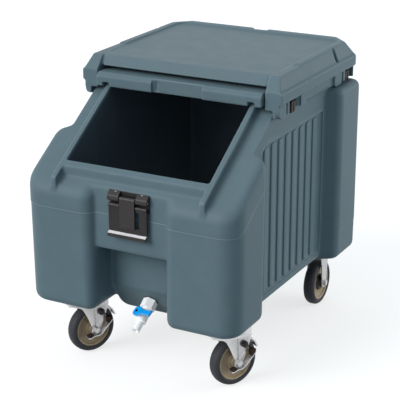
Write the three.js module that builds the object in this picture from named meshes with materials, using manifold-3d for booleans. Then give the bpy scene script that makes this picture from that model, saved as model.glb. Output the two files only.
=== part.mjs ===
// Mobile ice bin: a double-walled, slant-fronted bin on four casters, with a fixed top lid, a sliding front
// lid, a draw latch and a drain faucet. Millimetres, +Z up, the front faces -Y, the origin is on the floor
// under the middle of the bin.
import * as THREE from 'three';
import { mergeVertices } from 'three/addons/utils/BufferGeometryUtils.js';
import Module from 'manifold-3d';

const wasm = await Module();
wasm.setup();

// Fits and general sizes
const gap = 0.3; // between neighbouring pieces
const skin = 6; // moulded wall of the body and of the top lid
const overrun = 20; // how far a cut runs past the face it opens
const cornerSteps = 3; // straight pieces in a rounded corner
const hiddenSteps = 1; // and on a hidden inner side
const roundSides = 20; // sides of a round piece
const smallSides = 8; // sides of a pin, a screw or a hole
const hexSides = 6;

// Body, heights above the floor
const bodyHalfWidth = 292; // to the outer face of a corner post
const bodyHalfDepth = 375;
const postStand = 40; // how far a post stands out from the side wall between the posts
const coreTop = 660;
const coreRise = 12.3; // underside of the core, above the casters' plates
const coreRearSetback = 25; // rear wall, from the rear of the whole bin
const slopeDrop = 183.5; // from the core's top to the slanted shoulder's foot at the front face
const slopeDegrees = 32.6;
const latchPanelSetback = 24;
const latchPanelDrop = 144.5; // its foot, below the shoulder's foot
const panelTopRadius = 12;
const panelFootRadius = 9;
const shelfRise = 14; // how much the underside of the front shelf climbs towards the back
const tankFrontSetback = 93;
const coreFrontSetback = 120; // beside the tank, between it and the posts
const footRadius = 14;

// Corner posts
const postFootRadius = 20;
const postWidth = 194;
const postInnerRadius = 24;
const postOuterRadius = 46;
const postSideRadius = 25;
const frontPostLength = 158;
const frontPostTaper = 22; // slant of its rear side, down to the side wall
const frontPostShoulderRadius = 26;
const rearPostLength = 137;
const rearPostTaper = 26;
const rearPostSetback = 9;
const rearPostDrop = 20; // its top, below the core's
const rearPostTopRadius = 18;
const rearPostWidth = 152;

// Keel: the lower middle of the tank, between the casters
const keelPostLap = 8; // how far the keel reaches behind a front post
const keelDrop = 30.7; // its underside, below the casters' plates
const keelCornerRadius = 28;
const keelEdgeRadius = 14;
const keelRearSetback = 45;
const drainFaceRise = 78; // the slanted drain face starts this high above the keel's underside
const drainFaceDepth = 52;

// Fluted side panels
const fluteDepth = 6;
const ribHeight = 4.5;
const ribWidth = 26;
const ribPitch = 41;
const ribTaper = 5;
const sidePanelFootMargin = 22;
const sidePanelTopMargin = 76;
const sidePanelFrontMargin = 2;
const sidePanelSlopeDrop = 46; // below the shoulder
const sidePanelRadius = 30;
const sidePanelRearMargin = 4;

// Opening, its raised rim, and the well
const wellSideWall = 57; // from the side wall to the well
const wellFloorRise = 49; // above the keel's underside
const wellFrontSetback = 52;
const wellRearSetback = 65;
const wellRadius = 20;
const wellStepDrop = 36.5; // the well's front wall steps back this far below the shoulder's foot
const wellStepHeight = 55;
const drainWall = 45; // from the drain face to the well
const rimWidth = 15;
const rimHeight = 25;
const rimRise = 20; // top of the rim's level part, above the core's top
const rimRadius = 4;
const rimRoot = 24; // how deep the rim's block reaches into the body
const railSetback = 2; // front end of the rails that carry the rim on to the front

// Foam fill ports
const portRadius = 20;
const portRearSetbacks = [315, 115];

// Top lid
const lidHeight = 85; // above the core's top
const lidRimLip = 2.5; // raised edge round the top
const lidRimWidth = 18;
const lidTopStand = 6; // half widths, past the body's side wall
const lidChamferStand = 20;
const skirtStand = 26;
const flangeStand = 14;
const lidChamferHeight = 36;
const lidEdgeHeight = 40.5; // top of the skirt, below the lid's top
const skirtHeight = 27.8;
const skirtRadius = 3;
const flangeHeight = 33.7;
const flangeStep = 12; // skirt to flange at the rear
const lidFrontSetback = 263;
const lidEdgeFrontSetback = 291; // front edge of the top at the pillars
const lidTopFrontSetback = 297;
const lidChamferFrontSetback = 281;
const lidTopRearSetback = 14;
const lidRoofHeight = 31; // from the roof over the stored front lid to the lid's top
const lidSideWall = 18; // inner side of the storage space, in from the body's side wall
const lidRearWall = 16; // rear wall of the storage space, from the body's rear wall
const pillarInset = 20; // inner side of the front pillars, in from the body's side wall
const pillarDrop = 38; // lower block of a pillar, below the skirt
const pillarBlockLength = 40;
const pillarBlockRadius = 30;
const pillarBlockStand = 19;
const pillarBlockClearance = 2; // from the body's side wall
const backNotchWidth = 36;
const backNotchDepth = 8;
const lidFoamInset = 8;
const lidPortRadius = 12;
const lidPortSetback = 75;

// Bolts of the top lid
const boltPocketWidth = 38;
const boltPocketWeb = 6; // wall left behind the pocket
const boltFrontSetback = 358;
const boltRearSetback = 53;
const boltDrop = 8; // below the core's top
const boltShankRadius = 5;
const boltHeadRadius = 9;
const boltHeadLength = 8;
const boltGrip = 4.5; // length inside the body's wall

// Front lid, stored
const frontLidInset = 22; // in from the body's side wall
const frontLidLength = 305;
const frontLidFrontSetback = 250;
const frontLidClearance = 10; // below the roof of the storage space
const frontLidThickness = 14;
const frontLidLip = 24; // front edge, front to back
const frontLidHeight = 35;
const frontLidBevel = 9;
const frontLidRadius = 3;
const runnerClearance = 2; // beside the rim
const runnerRib = 5;
const fingerRecessHalfWidth = 71;
const fingerRecessDepth = 9;

// Latch
const latchHalfWidth = 54;
const latchPlateThickness = 3;
const latchPlateRise = 15.5; // its top, above the shoulder's foot
const latchPlateHeight = 46;
const latchPinOut = 9.5; // upper pin, in front of the latch panel
const latchPinDrop = 18; // heights below the plate's top
const latchBarDrop = 35;
const strapDrop = 85;
const hookCrossDrop = 90;
const hookDrop = 106;
const latchScrewDrop = 5.4;
const latchPinRadius = 2.5;
const barrelRadius = 5.6;
const strapHalfWidth = 21;
const strapClearance = 3;
const strapThickness = 3;
const latchBarOut = 10.5;
const latchBarRadius = 2.8;
const knuckleRadius = 5.2;
const hookHalfWidth = 52;
const hookThickness = 4;
const hookLipLength = 10;
const hookLipThickness = 4;
const hookLipDrop = 6;
const latchScrewRadius = 2;
const latchScrewHeadRadius = 3.8;
const latchScrewHeadHeight = 2;
const latchScrewX = 36;
const latchScrewGrip = 4.5;

// Drain, lengths along its own axis from the drain face
const drainPlaceShare = 0.46;
const drainTubeRadius = 12;
const drainBoreRadius = 7;
const drainTubeOutside = 14;
const drainTubeInside = 11;
const gasketRadius = 17;
const gasketThickness = 2;
const lockNutRadius = 16;
const lockNutThickness = 7;
const unionRadius = 19;
const unionLength = 24;
const faucetNeckRadius = 10;
const faucetNeckLength = 6;
const faucetBodyRadius = 14;
const faucetBodyLength = 32;
const spoutRadius = 10;
const spoutLength = 28;
const faucetBossRadius = 8;
const faucetBossHeight = 19;
const faucetRoll = 25; // degrees, leans the handle towards -X
const ballRadius = 10;
const stemRadius = 3;
const handleHubRadius = 9;
const handleThickness = 6;
const handleLength = 48;
const handleTipHalfWidth = 4;

// Drain shelf
const shelfPlateRise = 36; // top of the plate, above the well's floor
const shelfPlateThickness = 6;
const shelfClearance = 4;
const shelfFrontSetback = 185;
const shelfFootSize = 24;
const shelfSlots = 9;
const slotWidth = 4;
const slotMargin = 30;

// Casters
const casterHeadroom = 40.7; // from the top of the wheel to the top of the plate
const casterInset = 88; // plate's middle, from the outer side of its post
const casterFrontSetback = 95;
const casterRearSetback = 70;
const swivelTurn = 27; // degrees the front casters are turned, seen from above, towards +X
const trail = 38;
const wheelRadius = 63.5;
const tyreWidth = 32;
const tyreWall = 15.5;
const tyreShoulder = 9;
const hubWidth = 26;
const hubBossRadius = 14;
const hubBossWidth = 36;
const hubWeb = 10;
const hubRim = 5;
const axleRadius = 4.7;
const axleHeadRadius = 9;
const axleHeadLength = 6;
const axleNutRadius = 8.5;
const plateLength = 92;
const plateWidth = 64;
const plateThickness = 3;
const studSpacingX = 44;
const studSpacingY = 70;
const studRadius = 4;
const studHoleClearance = 0.4;
const nutRadius = 6.5;
const nutHeight = 6;
const backingMargin = 5;
const backingThickness = 4;
const domeRadius = 25;
const domeHeight = 9;
const raceHeight = 4;
const raceRadius = 27;
const crownRadius = 29;
const crownThickness = 4;
const kingpinRadius = 5;
const kingpinHeadRadius = 9;
const kingpinHead = 4;
const legGap = 2; // from the hub's boss to a fork leg
const legThickness = 3;
const legFootRadius = 13;
const forkNose = 12; // swivel fork, in front of the kingpin
const forkTail = 40; // and behind the axle
const forkCheekDrop = 22; // straight part of its cheeks, below the crown
const rigidLegTop = 46;

// Brakes of the front casters: a rocker on the axle and a shoe on a pin across the fork
const rockerThickness = 3;
const rockerHub = 12;
const rockerLowReach = 29; // pedal end in front of the axle
const rockerLowDrop = 13;
const rockerHighReach = 44; // pedal end behind the axle
const rockerHighRise = 32;
const rockerBelly = 8;
const pedalWidth = 14;
const pedalBlock = 13;
const shoePinOut = 7.5; // from the tread to the pin
const shoePinDegrees = 63;
const shoePinRadius = 2.5;
const shoeBarrelWall = 2.5;
const shoeClearance = 3; // from the tread, released
const shoeThickness = 4;
const shoeDegrees = 42; // length of the shoe round the tread

// Places worked out from the sizes above
const casterHeight = 2 * wheelRadius + casterHeadroom; // floor to the top of the plate
const tyreRootRadius = wheelRadius - tyreWall;
const coreHalfWidth = bodyHalfWidth - postStand;
const postInnerX = bodyHalfWidth - postWidth;
const rearPostInnerX = bodyHalfWidth - rearPostWidth;
const keelHalfWidth = postInnerX + keelPostLap;
const casterX = bodyHalfWidth - casterInset;
const wellHalfWidth = coreHalfWidth - wellSideWall;
const frontLidHalfWidth = coreHalfWidth - frontLidInset;
const lidTopHalfWidth = coreHalfWidth + lidTopStand;
const lidChamferHalfWidth = coreHalfWidth + lidChamferStand;
const skirtHalfWidth = coreHalfWidth + skirtStand;
const flangeHalfWidth = coreHalfWidth + flangeStand;
const lidSideInner = coreHalfWidth - lidSideWall;
const pillarHalfWidth = coreHalfWidth - pillarInset;
const coreFoot = casterHeight + coreRise;
const keelFoot = casterHeight - keelDrop;
const drainFaceTop = keelFoot + drainFaceRise;
const wellFloor = keelFoot + wellFloorRise;
const shelfPlateTop = wellFloor + shelfPlateRise;
const slopeFoot = coreTop - slopeDrop;
const latchPanelFoot = slopeFoot - latchPanelDrop;
const wellStepTop = slopeFoot - wellStepDrop;
const sidePanelFoot = coreFoot + sidePanelFootMargin;
const sidePanelTop = coreTop - sidePanelTopMargin;
const rearPostTop = coreTop - rearPostDrop;
const rimTop = coreTop + rimRise;
const lidTop = coreTop + lidHeight;
const lidChamferFoot = lidTop - lidChamferHeight;
const skirtTop = lidTop - lidEdgeHeight;
const skirtFoot = skirtTop - skirtHeight;
const flangeFoot = skirtFoot - flangeHeight;
const lidUnderside = lidTop - lidRoofHeight;
const frontLidTop = lidUnderside - frontLidClearance;
const frontLidFoot = frontLidTop - frontLidHeight;
const boltHeight = coreTop - boltDrop;
const latchPlateTop = slopeFoot + latchPlateRise;
const latchPinHeight = latchPlateTop - latchPinDrop;
const latchBarHeight = latchPlateTop - latchBarDrop;
const hookFoot = latchPlateTop - hookDrop;
const frontY = -bodyHalfDepth;
const rearY = bodyHalfDepth;
const frontCasterY = frontY + casterFrontSetback;
const rearCasterY = rearY - casterRearSetback;
const portPlaces = portRearSetbacks.map((setback) => rearY - setback);
const boltPlaces = [frontY + boltFrontSetback, rearY - boltRearSetback];
const coreRearY = rearY - coreRearSetback;
const latchPanelY = frontY + latchPanelSetback;
const tankFrontY = frontY + tankFrontSetback;
const coreFrontY = frontY + coreFrontSetback;
const wellFrontY = frontY + wellFrontSetback;
const wellRearY = rearY - wellRearSetback;
const keelRearY = rearY - keelRearSetback;
const rearPostY = rearY - rearPostSetback;
const postFoot = casterHeight + gap;
const slopeRate = Math.tan(THREE.MathUtils.degToRad(slopeDegrees));
const bodyPad = bodyHalfWidth + overrun;
const tall = lidTop + overrun;
const slopeAt = (y) => slopeFoot + slopeRate * (y - frontY);
const slopeReach = (z) => frontY + (z - slopeFoot) / slopeRate;

// Finishes
const paint = (color, roughness, metalness = 0) =>
  new THREE.MeshStandardMaterial({ color, roughness, metalness });
const slate = paint(0x61737a, 0.55);
const foamYellow = paint(0xd8cfa0, 0.9);
const nylonBlack = paint(0x2b2a2b, 0.45);
const nylonBrown = paint(0x3a2a24, 0.5);
const whitePlastic = paint(0xe8e8e6, 0.4);
const bluePlastic = paint(0x0a99eb, 0.4);
const sealRubber = paint(0x202020, 0.8);
const zinc = paint(0xc9ccd0, 0.25, 1);
const tyreRubber = paint(0x3a3a3d, 0.7);
const hubPlastic = paint(0x6b5f45, 0.5);

// Solids from geometries, and back
function solidOf(geometry) {
  const bare = geometry.clone();
  bare.deleteAttribute('normal');
  bare.deleteAttribute('uv');
  const merged = mergeVertices(bare);
  return new wasm.Manifold(new wasm.Mesh({
    numProp: 3,
    vertProperties: Float32Array.from(merged.attributes.position.array),
    triVerts: Uint32Array.from(merged.index.array),
  }));
}

function meshOf(name, solid, material) {
  const { vertProperties, triVerts } = solid.getMesh();
  const geometry = new THREE.BufferGeometry();
  geometry.setAttribute('position', new THREE.BufferAttribute(vertProperties, 3));
  geometry.setIndex(new THREE.BufferAttribute(triVerts, 1));
  geometry.computeVertexNormals();
  const mesh = new THREE.Mesh(geometry, material);
  mesh.name = name;
  return mesh;
}

const join = (...solids) => solids.flat().reduce((a, b) => a.add(b));
const cut = (solid, ...tools) => tools.flat().reduce((a, b) => a.subtract(b), solid);
const common = (...solids) => solids.reduce((a, b) => a.intersect(b));

// A closed outline from corners [u, v, radius], going round anticlockwise
function outline(corners, steps = cornerSteps) {
  const points = [];
  corners.forEach(([u, v, radius = 0], i) => {
    const here = new THREE.Vector2(u, v);
    if (radius <= 0) {
      points.push(here);
      return;
    }
    const [bu, bv] = corners.at(i - 1);
    const [au, av] = corners[(i + 1) % corners.length];
    const back = new THREE.Vector2(bu, bv).sub(here).normalize();
    const ahead = new THREE.Vector2(au, av).sub(here).normalize();
    const half = Math.acos(back.dot(ahead)) / 2;
    const centre = here.clone().addScaledVector(back.clone().add(ahead).normalize(), radius / Math.sin(half));
    const start = here.clone().addScaledVector(back, radius / Math.tan(half)).sub(centre);
    const sweep = Math.sign(back.cross(ahead)) * -(Math.PI - 2 * half);
    for (let k = 0; k <= steps; k++) {
      points.push(start.clone().rotateAround(new THREE.Vector2(), sweep * k / steps).add(centre));
    }
  });
  return points;
}

// The corners moved inwards by a wall's thickness
function inset(corners, wall) {
  return corners.map(([u, v, radius = 0], i) => {
    const here = new THREE.Vector2(u, v);
    const [bu, bv] = corners.at(i - 1);
    const [au, av] = corners[(i + 1) % corners.length];
    const before = here.clone().sub(new THREE.Vector2(bu, bv)).normalize();
    const after = new THREE.Vector2(au, av).sub(here).normalize();
    const inBefore = new THREE.Vector2(-before.y, before.x);
    const inAfter = new THREE.Vector2(-after.y, after.x);
    const mitre = inBefore.clone().add(inAfter);
    here.addScaledVector(mitre, wall * 2 / mitre.lengthSq());
    return [here.x, here.y, Math.max(radius - wall, 0)];
  });
}

const extruded = (points, depth) =>
  new THREE.ExtrudeGeometry(new THREE.Shape(points), { depth, bevelEnabled: false, steps: 1 });

// Prisms along X, Y and Z. Their outlines are in (y, z), (x, z) and (x, y).
function prismX(corners, x0, x1, steps = cornerSteps) {
  const basis = new THREE.Matrix4().set(0, 0, 1, x0, 1, 0, 0, 0, 0, 1, 0, 0, 0, 0, 0, 1);
  return solidOf(extruded(outline(corners, steps), x1 - x0).applyMatrix4(basis));
}

function prismY(corners, y0, y1, steps = cornerSteps) {
  const basis = new THREE.Matrix4().set(1, 0, 0, 0, 0, 0, -1, y1, 0, 1, 0, 0, 0, 0, 0, 1);
  return solidOf(extruded(outline(corners, steps), y1 - y0).applyMatrix4(basis));
}

function prismZ(corners, z0, z1, steps = cornerSteps) {
  return solidOf(extruded(outline(corners, steps), z1 - z0).translate(0, 0, z0));
}

const box = (x0, x1, y0, y1, z0, z1) => solidOf(
  new THREE.BoxGeometry(x1 - x0, y1 - y0, z1 - z0).translate((x0 + x1) / 2, (y0 + y1) / 2, (z0 + z1) / 2),
);

// A turned piece: profile [radius, height] pairs about Z, open ends closed on the axis
function turned(profile, sides = roundSides) {
  const points = profile.map(([r, z]) => new THREE.Vector2(r, z));
  return solidOf(new THREE.LatheGeometry(points, sides).rotateX(Math.PI / 2));
}

const rod = (radius, z0, z1, sides = smallSides) => turned([
  [0, z0],
  [radius, z0],
  [radius, z1],
  [0, z1],
], sides);
const alongX = (solid) => solid.rotate([0, 90, 0]);
const mirrorX = (solid) => solid.mirror([1, 0, 0]);
const bothSides = (solid) => solid.add(mirrorX(solid));

// A rod along X between two stations, at a place in (y, z)
const rodX = (radius, x0, x1, y, z, sides = smallSides) =>
  alongX(rod(radius, x0, x1, sides)).translate([0, y, z]);

// Body: each block with its walls moved inwards by `wall`
const stepsFor = (wall) => (wall > 0 ? hiddenSteps : cornerSteps);

function coreSolid(wall) {
  const side = inset([
    [coreFrontY, coreFoot],
    [coreRearY, coreFoot, footRadius],
    [coreRearY, coreTop],
    [slopeReach(coreTop), coreTop],
    [latchPanelY, slopeAt(latchPanelY), panelTopRadius],
    [latchPanelY, latchPanelFoot, panelFootRadius],
    [coreFrontY, latchPanelFoot + shelfRise],
  ], wall);
  return prismX(side, -coreHalfWidth + wall, coreHalfWidth - wall, stepsFor(wall));
}

function frontPostSolid(wall) {
  const rear = frontY + frontPostLength;
  const foot = rear + frontPostTaper;
  const plan = inset([
    [postInnerX, frontY, postInnerRadius],
    [bodyHalfWidth, frontY, postOuterRadius],
    [bodyHalfWidth, rear, postSideRadius],
    [coreHalfWidth, foot],
    [postInnerX, foot],
  ], wall);
  const side = inset([
    [frontY, postFoot, postFootRadius],
    [foot, postFoot, footRadius],
    [foot, slopeAt(foot), frontPostShoulderRadius],
    [frontY, slopeFoot, panelFootRadius],
  ], wall);
  const front = inset([
    [postInnerX, postFoot, postInnerRadius],
    [bodyHalfWidth, postFoot, postFootRadius],
    [bodyHalfWidth, coreTop],
    [postInnerX, coreTop],
  ], wall);
  return common(
    prismZ(plan, postFoot + wall, coreTop, stepsFor(wall)),
    prismX(side, postInnerX, bodyHalfWidth, stepsFor(wall)),
    prismY(front, frontY, foot, stepsFor(wall)),
  );
}

function rearPostSolid(wall) {
  const front = rearPostY - rearPostLength;
  const root = front - rearPostTaper;
  const plan = inset([
    [rearPostInnerX, root],
    [coreHalfWidth, root],
    [bodyHalfWidth, front, postSideRadius],
    [bodyHalfWidth, rearPostY, postSideRadius],
    [rearPostInnerX, rearPostY],
  ], wall);
  const end = inset([
    [rearPostInnerX, postFoot, postInnerRadius],
    [bodyHalfWidth, postFoot, postFootRadius],
    [bodyHalfWidth, rearPostTop, rearPostTopRadius],
    [rearPostInnerX, rearPostTop],
  ], wall);
  return common(
    prismZ(plan, postFoot + wall, rearPostTop - wall, stepsFor(wall)),
    prismY(end, root, rearPostY, stepsFor(wall)),
  );
}

// Corners of the slanted drain face, in (y, z)
const drainFaceUpper = new THREE.Vector2(tankFrontY, drainFaceTop);
const drainFaceLower = new THREE.Vector2(tankFrontY + drainFaceDepth, keelFoot);
const drainFaceRun = drainFaceLower.clone().sub(drainFaceUpper).normalize();
const drainAxis = new THREE.Vector2(drainFaceRun.y, -drainFaceRun.x);

function keelSolid(wall) {
  const top = latchPanelFoot + 2 * shelfRise;
  const side = inset([
    [tankFrontY, top],
    [drainFaceUpper.x, drainFaceUpper.y, keelEdgeRadius],
    [drainFaceLower.x, drainFaceLower.y, keelEdgeRadius],
    [keelRearY, keelFoot, keelEdgeRadius],
    [keelRearY, top],
  ], wall);
  const end = inset([
    [-keelHalfWidth, keelFoot, keelCornerRadius],
    [keelHalfWidth, keelFoot, keelCornerRadius],
    [keelHalfWidth, top],
    [-keelHalfWidth, top],
  ], wall);
  return common(
    prismX(side, -keelHalfWidth, keelHalfWidth, stepsFor(wall)),
    prismY(end, tankFrontY, keelRearY, stepsFor(wall)),
  );
}

const envelope = (wall) => join(
  coreSolid(wall),
  keelSolid(wall),
  bothSides(frontPostSolid(wall)),
  bothSides(rearPostSolid(wall)),
);

// Well: the ice space, its walls outwards by `wall`
function wellSolid(wall) {
  const inner = (share) => drainFaceUpper.clone().addScaledVector(drainAxis, -drainWall).addScaledVector(
    drainFaceRun, share);
  const onRun = (y) => (y - inner(0).x) / drainFaceRun.x;
  const frontLow = tankFrontY + drainWall - fluteDepth / 2;
  const upper = inner(onRun(frontLow));
  const lower = inner((wellFloor - inner(0).y) / drainFaceRun.y);
  const side = inset([
    [lower.x, lower.y],
    [wellRearY, wellFloor, wellRadius],
    [wellRearY, tall],
    [wellFrontY, tall],
    [wellFrontY, wellStepTop],
    [frontLow, wellStepTop - wellStepHeight],
    [upper.x, upper.y],
  ], -wall);
  return prismX(side, -wellHalfWidth - wall, wellHalfWidth + wall);
}

function rimBlock() {
  const front = wellFrontY - rimWidth;
  const rear = wellRearY + rimWidth;
  const apex = slopeReach(rimTop - rimHeight);
  return prismX([
    [front, slopeAt(front) - rimRoot],
    [apex, coreTop - rimRoot],
    [rear, coreTop - rimRoot],
    [rear, rimTop, rimRadius],
    [apex, rimTop],
    [front, slopeAt(front) + rimHeight, rimRadius],
  ], -wellHalfWidth - rimWidth, wellHalfWidth + rimWidth);
}

// Rails that carry the sides of the rim on to the front edge
function frontRail() {
  const front = frontY + railSetback;
  const rear = wellFrontY;
  return prismX([
    [front, slopeAt(front) - rimRoot],
    [rear, slopeAt(rear) - rimRoot],
    [rear, slopeAt(rear) + rimHeight],
    [front, slopeAt(front) + rimHeight, rimRadius],
  ], wellHalfWidth, wellHalfWidth + rimWidth);
}

// What is cut from one side to leave the fluted panel
function sidePanelCut() {
  const y0 = frontY + frontPostLength + frontPostTaper + sidePanelFrontMargin;
  const y1 = rearPostY - rearPostLength - rearPostTaper - sidePanelRearMargin;
  const slopeTop = slopeReach(sidePanelTop + sidePanelSlopeDrop);
  const panel = [
    [y0, sidePanelFoot],
    [y1, sidePanelFoot],
    [y1, sidePanelTop],
    [slopeTop, sidePanelTop, sidePanelRadius],
    [y0, slopeAt(y0) - sidePanelSlopeDrop],
  ];
  const floor = coreHalfWidth - fluteDepth;
  const recess = prismX(panel, floor, coreHalfWidth + overrun);
  const ribs = [];
  for (let y = y0 + ribPitch / 2; y < y1 - ribWidth / 2; y += ribPitch) {
    ribs.push(prismZ([
      [floor - ribTaper, y - ribWidth / 2 - ribTaper],
      [floor + ribHeight, y - ribWidth / 2],
      [floor + ribHeight, y + ribWidth / 2],
      [floor - ribTaper, y + ribWidth / 2 + ribTaper],
    ], sidePanelFoot - overrun, tall));
  }
  return cut(recess, ribs);
}

// A piece along the drain's axis: +Z of the piece points out of the drain face
const drainSeat = drainFaceUpper.clone().lerp(drainFaceLower, drainPlaceShare);
const drainTilt = 90 + THREE.MathUtils.radToDeg(Math.asin(-drainAxis.y));
const onDrain = (solid) => solid.rotate([drainTilt, 0, 0]).translate([0, drainSeat.x, drainSeat.y]);
const drainBore = (radius) => onDrain(rod(radius, -drainWall - overrun, overrun, roundSides));

const studPlaces = (y) => [-1, 1].flatMap((sx) => [-1, 1].flatMap((sy) => [-1, 1].map(
  (side) => [side * casterX + sx * studSpacingX / 2, y + sy * studSpacingY / 2])));
const allStuds = [...studPlaces(frontCasterY), ...studPlaces(rearCasterY)];

function bodyShell() {
  const ports = portPlaces.map((y) => rod(portRadius, keelFoot - overrun, keelFoot + skin + gap, roundSides)
    .translate([0, y, 0]));
  const studs = allStuds.map(([x, y]) => rod(studRadius + studHoleClearance, postFoot - overrun,
    postFoot + skin + gap).translate([x, y, 0]));
  const bolts = boltPlaces.map((y) => bothSides(rodX(boltShankRadius + gap, coreHalfWidth - boltGrip - gap,
    coreHalfWidth + overrun, y, boltHeight)));
  const screwHole = rod(latchScrewRadius + gap, -latchScrewGrip - gap, overrun).rotate([90, 0, 0]);
  const screws = latchScrewPlaces().map(([x, z]) => screwHole.translate([x, latchPanelY, z]));
  return cut(
    join(envelope(0), rimBlock(), bothSides(frontRail())),
    wellSolid(0),
    cut(envelope(skin), wellSolid(skin)),
    bothSides(sidePanelCut()),
    drainBore(drainTubeRadius + gap),
    ports,
    studs,
    bolts,
    screws,
  );
}

function foamCore() {
  const halfX = studSpacingX / 2 + studRadius + backingMargin + gap;
  const halfY = studSpacingY / 2 + studRadius + backingMargin + gap;
  const plates = [frontCasterY, rearCasterY].map((y) => bothSides(box(casterX - halfX, casterX + halfX,
    y - halfY, y + halfY, postFoot, postFoot + skin + backingThickness + 2 * gap)));
  return cut(envelope(skin + gap), wellSolid(skin + gap), drainBore(drainTubeRadius + gap), plates);
}

const fillPlug = (y) => rod(portRadius - gap, keelFoot, keelFoot + skin, roundSides).translate([0, y, 0]);

function drainShelf() {
  const halfX = wellHalfWidth - shelfClearance;
  const y0 = frontY + shelfFrontSetback;
  const y1 = wellRearY - shelfClearance;
  const plate = box(-halfX, halfX, y0, y1, shelfPlateTop - shelfPlateThickness, shelfPlateTop);
  const top = shelfPlateTop - shelfPlateThickness / 2;
  const feet = [y0, y1 - wellRadius - shelfFootSize].map((y) => bothSides(box(halfX - shelfFootSize, halfX,
    y, y + shelfFootSize, wellFloor + gap, top)));
  const slots = [];
  for (let i = 0; i < shelfSlots; i++) {
    const y = y0 + slotMargin + (y1 - y0 - 2 * slotMargin) * (i + 0.5) / shelfSlots;
    slots.push(box(-halfX + slotMargin, halfX - slotMargin, y - slotWidth / 2, y + slotWidth / 2,
      shelfPlateTop - overrun, shelfPlateTop + overrun));
  }
  return join(cut(plate, slots), feet);
}

// Top lid
const lidFrontY = frontY + lidFrontSetback;
const lidStorageRearY = coreRearY - lidRearWall;

function lidPillarBlock() {
  const y1 = lidFrontY + pillarBlockLength;
  return prismX([
    [lidFrontY, skirtFoot - pillarDrop, pillarBlockRadius],
    [y1, skirtFoot - pillarDrop],
    [y1, skirtTop],
    [lidFrontY, skirtTop],
  ], coreHalfWidth + pillarBlockClearance, coreHalfWidth + pillarBlockStand);
}

function lidPocket(y) {
  const inner = coreHalfWidth + gap + boltPocketWeb;
  const pocket = box(inner, flangeHalfWidth + overrun, y - boltPocketWidth / 2, y + boltPocketWidth / 2,
    flangeFoot - overrun, skirtFoot);
  return join(pocket, rodX(boltShankRadius + gap, coreHalfWidth - overrun, inner + gap, y, boltHeight));
}

function topLid() {
  const half = [
    [flangeHalfWidth, flangeFoot],
    [flangeHalfWidth, skirtFoot],
    [skirtHalfWidth, skirtFoot],
    [skirtHalfWidth, skirtTop, skirtRadius],
    [lidChamferHalfWidth, lidChamferFoot],
    [lidTopHalfWidth, lidTop, skirtRadius],
  ];
  const across = [...half, ...half.map(([x, z, r]) => [-x, z, r]).reverse()];
  const along = [
    [lidFrontY, flangeFoot],
    [rearY - flangeStep, flangeFoot],
    [rearY - flangeStep, skirtFoot],
    [rearY, skirtFoot],
    [rearY, skirtTop, skirtRadius],
    [rearY - skirtRadius, lidChamferFoot],
    [rearY - lidTopRearSetback, lidTop, skirtRadius],
    [frontY + lidEdgeFrontSetback, lidTop, skirtRadius],
    [lidFrontY, skirtTop, skirtRadius],
  ];
  const outer = common(prismY(across, lidFrontY, rearY), prismX(along, -skirtHalfWidth, skirtHalfWidth));
  const frontCut = prismX([
    [lidFrontY - overrun, skirtTop],
    [frontY + lidChamferFrontSetback, skirtTop],
    [frontY + lidChamferFrontSetback, lidUnderside],
    [frontY + lidTopFrontSetback, lidTop],
    [frontY + lidTopFrontSetback, tall],
    [lidFrontY - overrun, tall],
  ], -pillarHalfWidth, pillarHalfWidth);
  const storage = box(-lidSideInner, lidSideInner, lidFrontY - overrun, lidStorageRearY,
    flangeFoot - overrun, lidUnderside);
  const seat = box(-coreHalfWidth - gap, coreHalfWidth + gap, lidFrontY - overrun, coreRearY + gap,
    flangeFoot - overrun, coreTop + gap);
  const top = box(-lidTopHalfWidth + lidRimWidth, lidTopHalfWidth - lidRimWidth,
    frontY + lidTopFrontSetback + lidRimWidth, rearY - lidTopRearSetback - lidRimWidth,
    lidTop - lidRimLip, tall);
  const notch = box(-backNotchWidth / 2, backNotchWidth / 2, rearY - lidTopRearSetback - backNotchDepth,
    rearY + overrun, lidTop - backNotchDepth, tall);
  const body = cut(join(outer, bothSides(lidPillarBlock())), frontCut, storage, seat, top, notch);
  const pockets = boltPlaces.map((y) => bothSides(lidPocket(y)));
  return cut(body, lidFoam(0), lidPort(lidPortRadius, skin + gap), pockets);
}

const lidPort = (radius, depth) => rod(radius, lidUnderside, lidUnderside + depth)
  .translate([0, rearY - lidPortSetback, 0]);

function lidFoam(clear) {
  const halfX = lidSideInner - lidFoamInset - clear;
  const y0 = frontY + lidTopFrontSetback + lidFoamInset + clear;
  const y1 = lidStorageRearY - lidFoamInset - clear;
  return box(-halfX, halfX, y0, y1, lidUnderside + skin + clear, lidTop - lidRimLip - skin - clear);
}

function lidBolt(side, y) {
  const seat = coreHalfWidth + gap + boltPocketWeb + gap;
  const shank = rodX(boltShankRadius, coreHalfWidth - boltGrip, seat + gap, y, boltHeight);
  const head = rodX(boltHeadRadius, seat, seat + boltHeadLength, y, boltHeight, hexSides);
  const bolt = join(shank, head);
  return side > 0 ? bolt : mirrorX(bolt);
}

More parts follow.
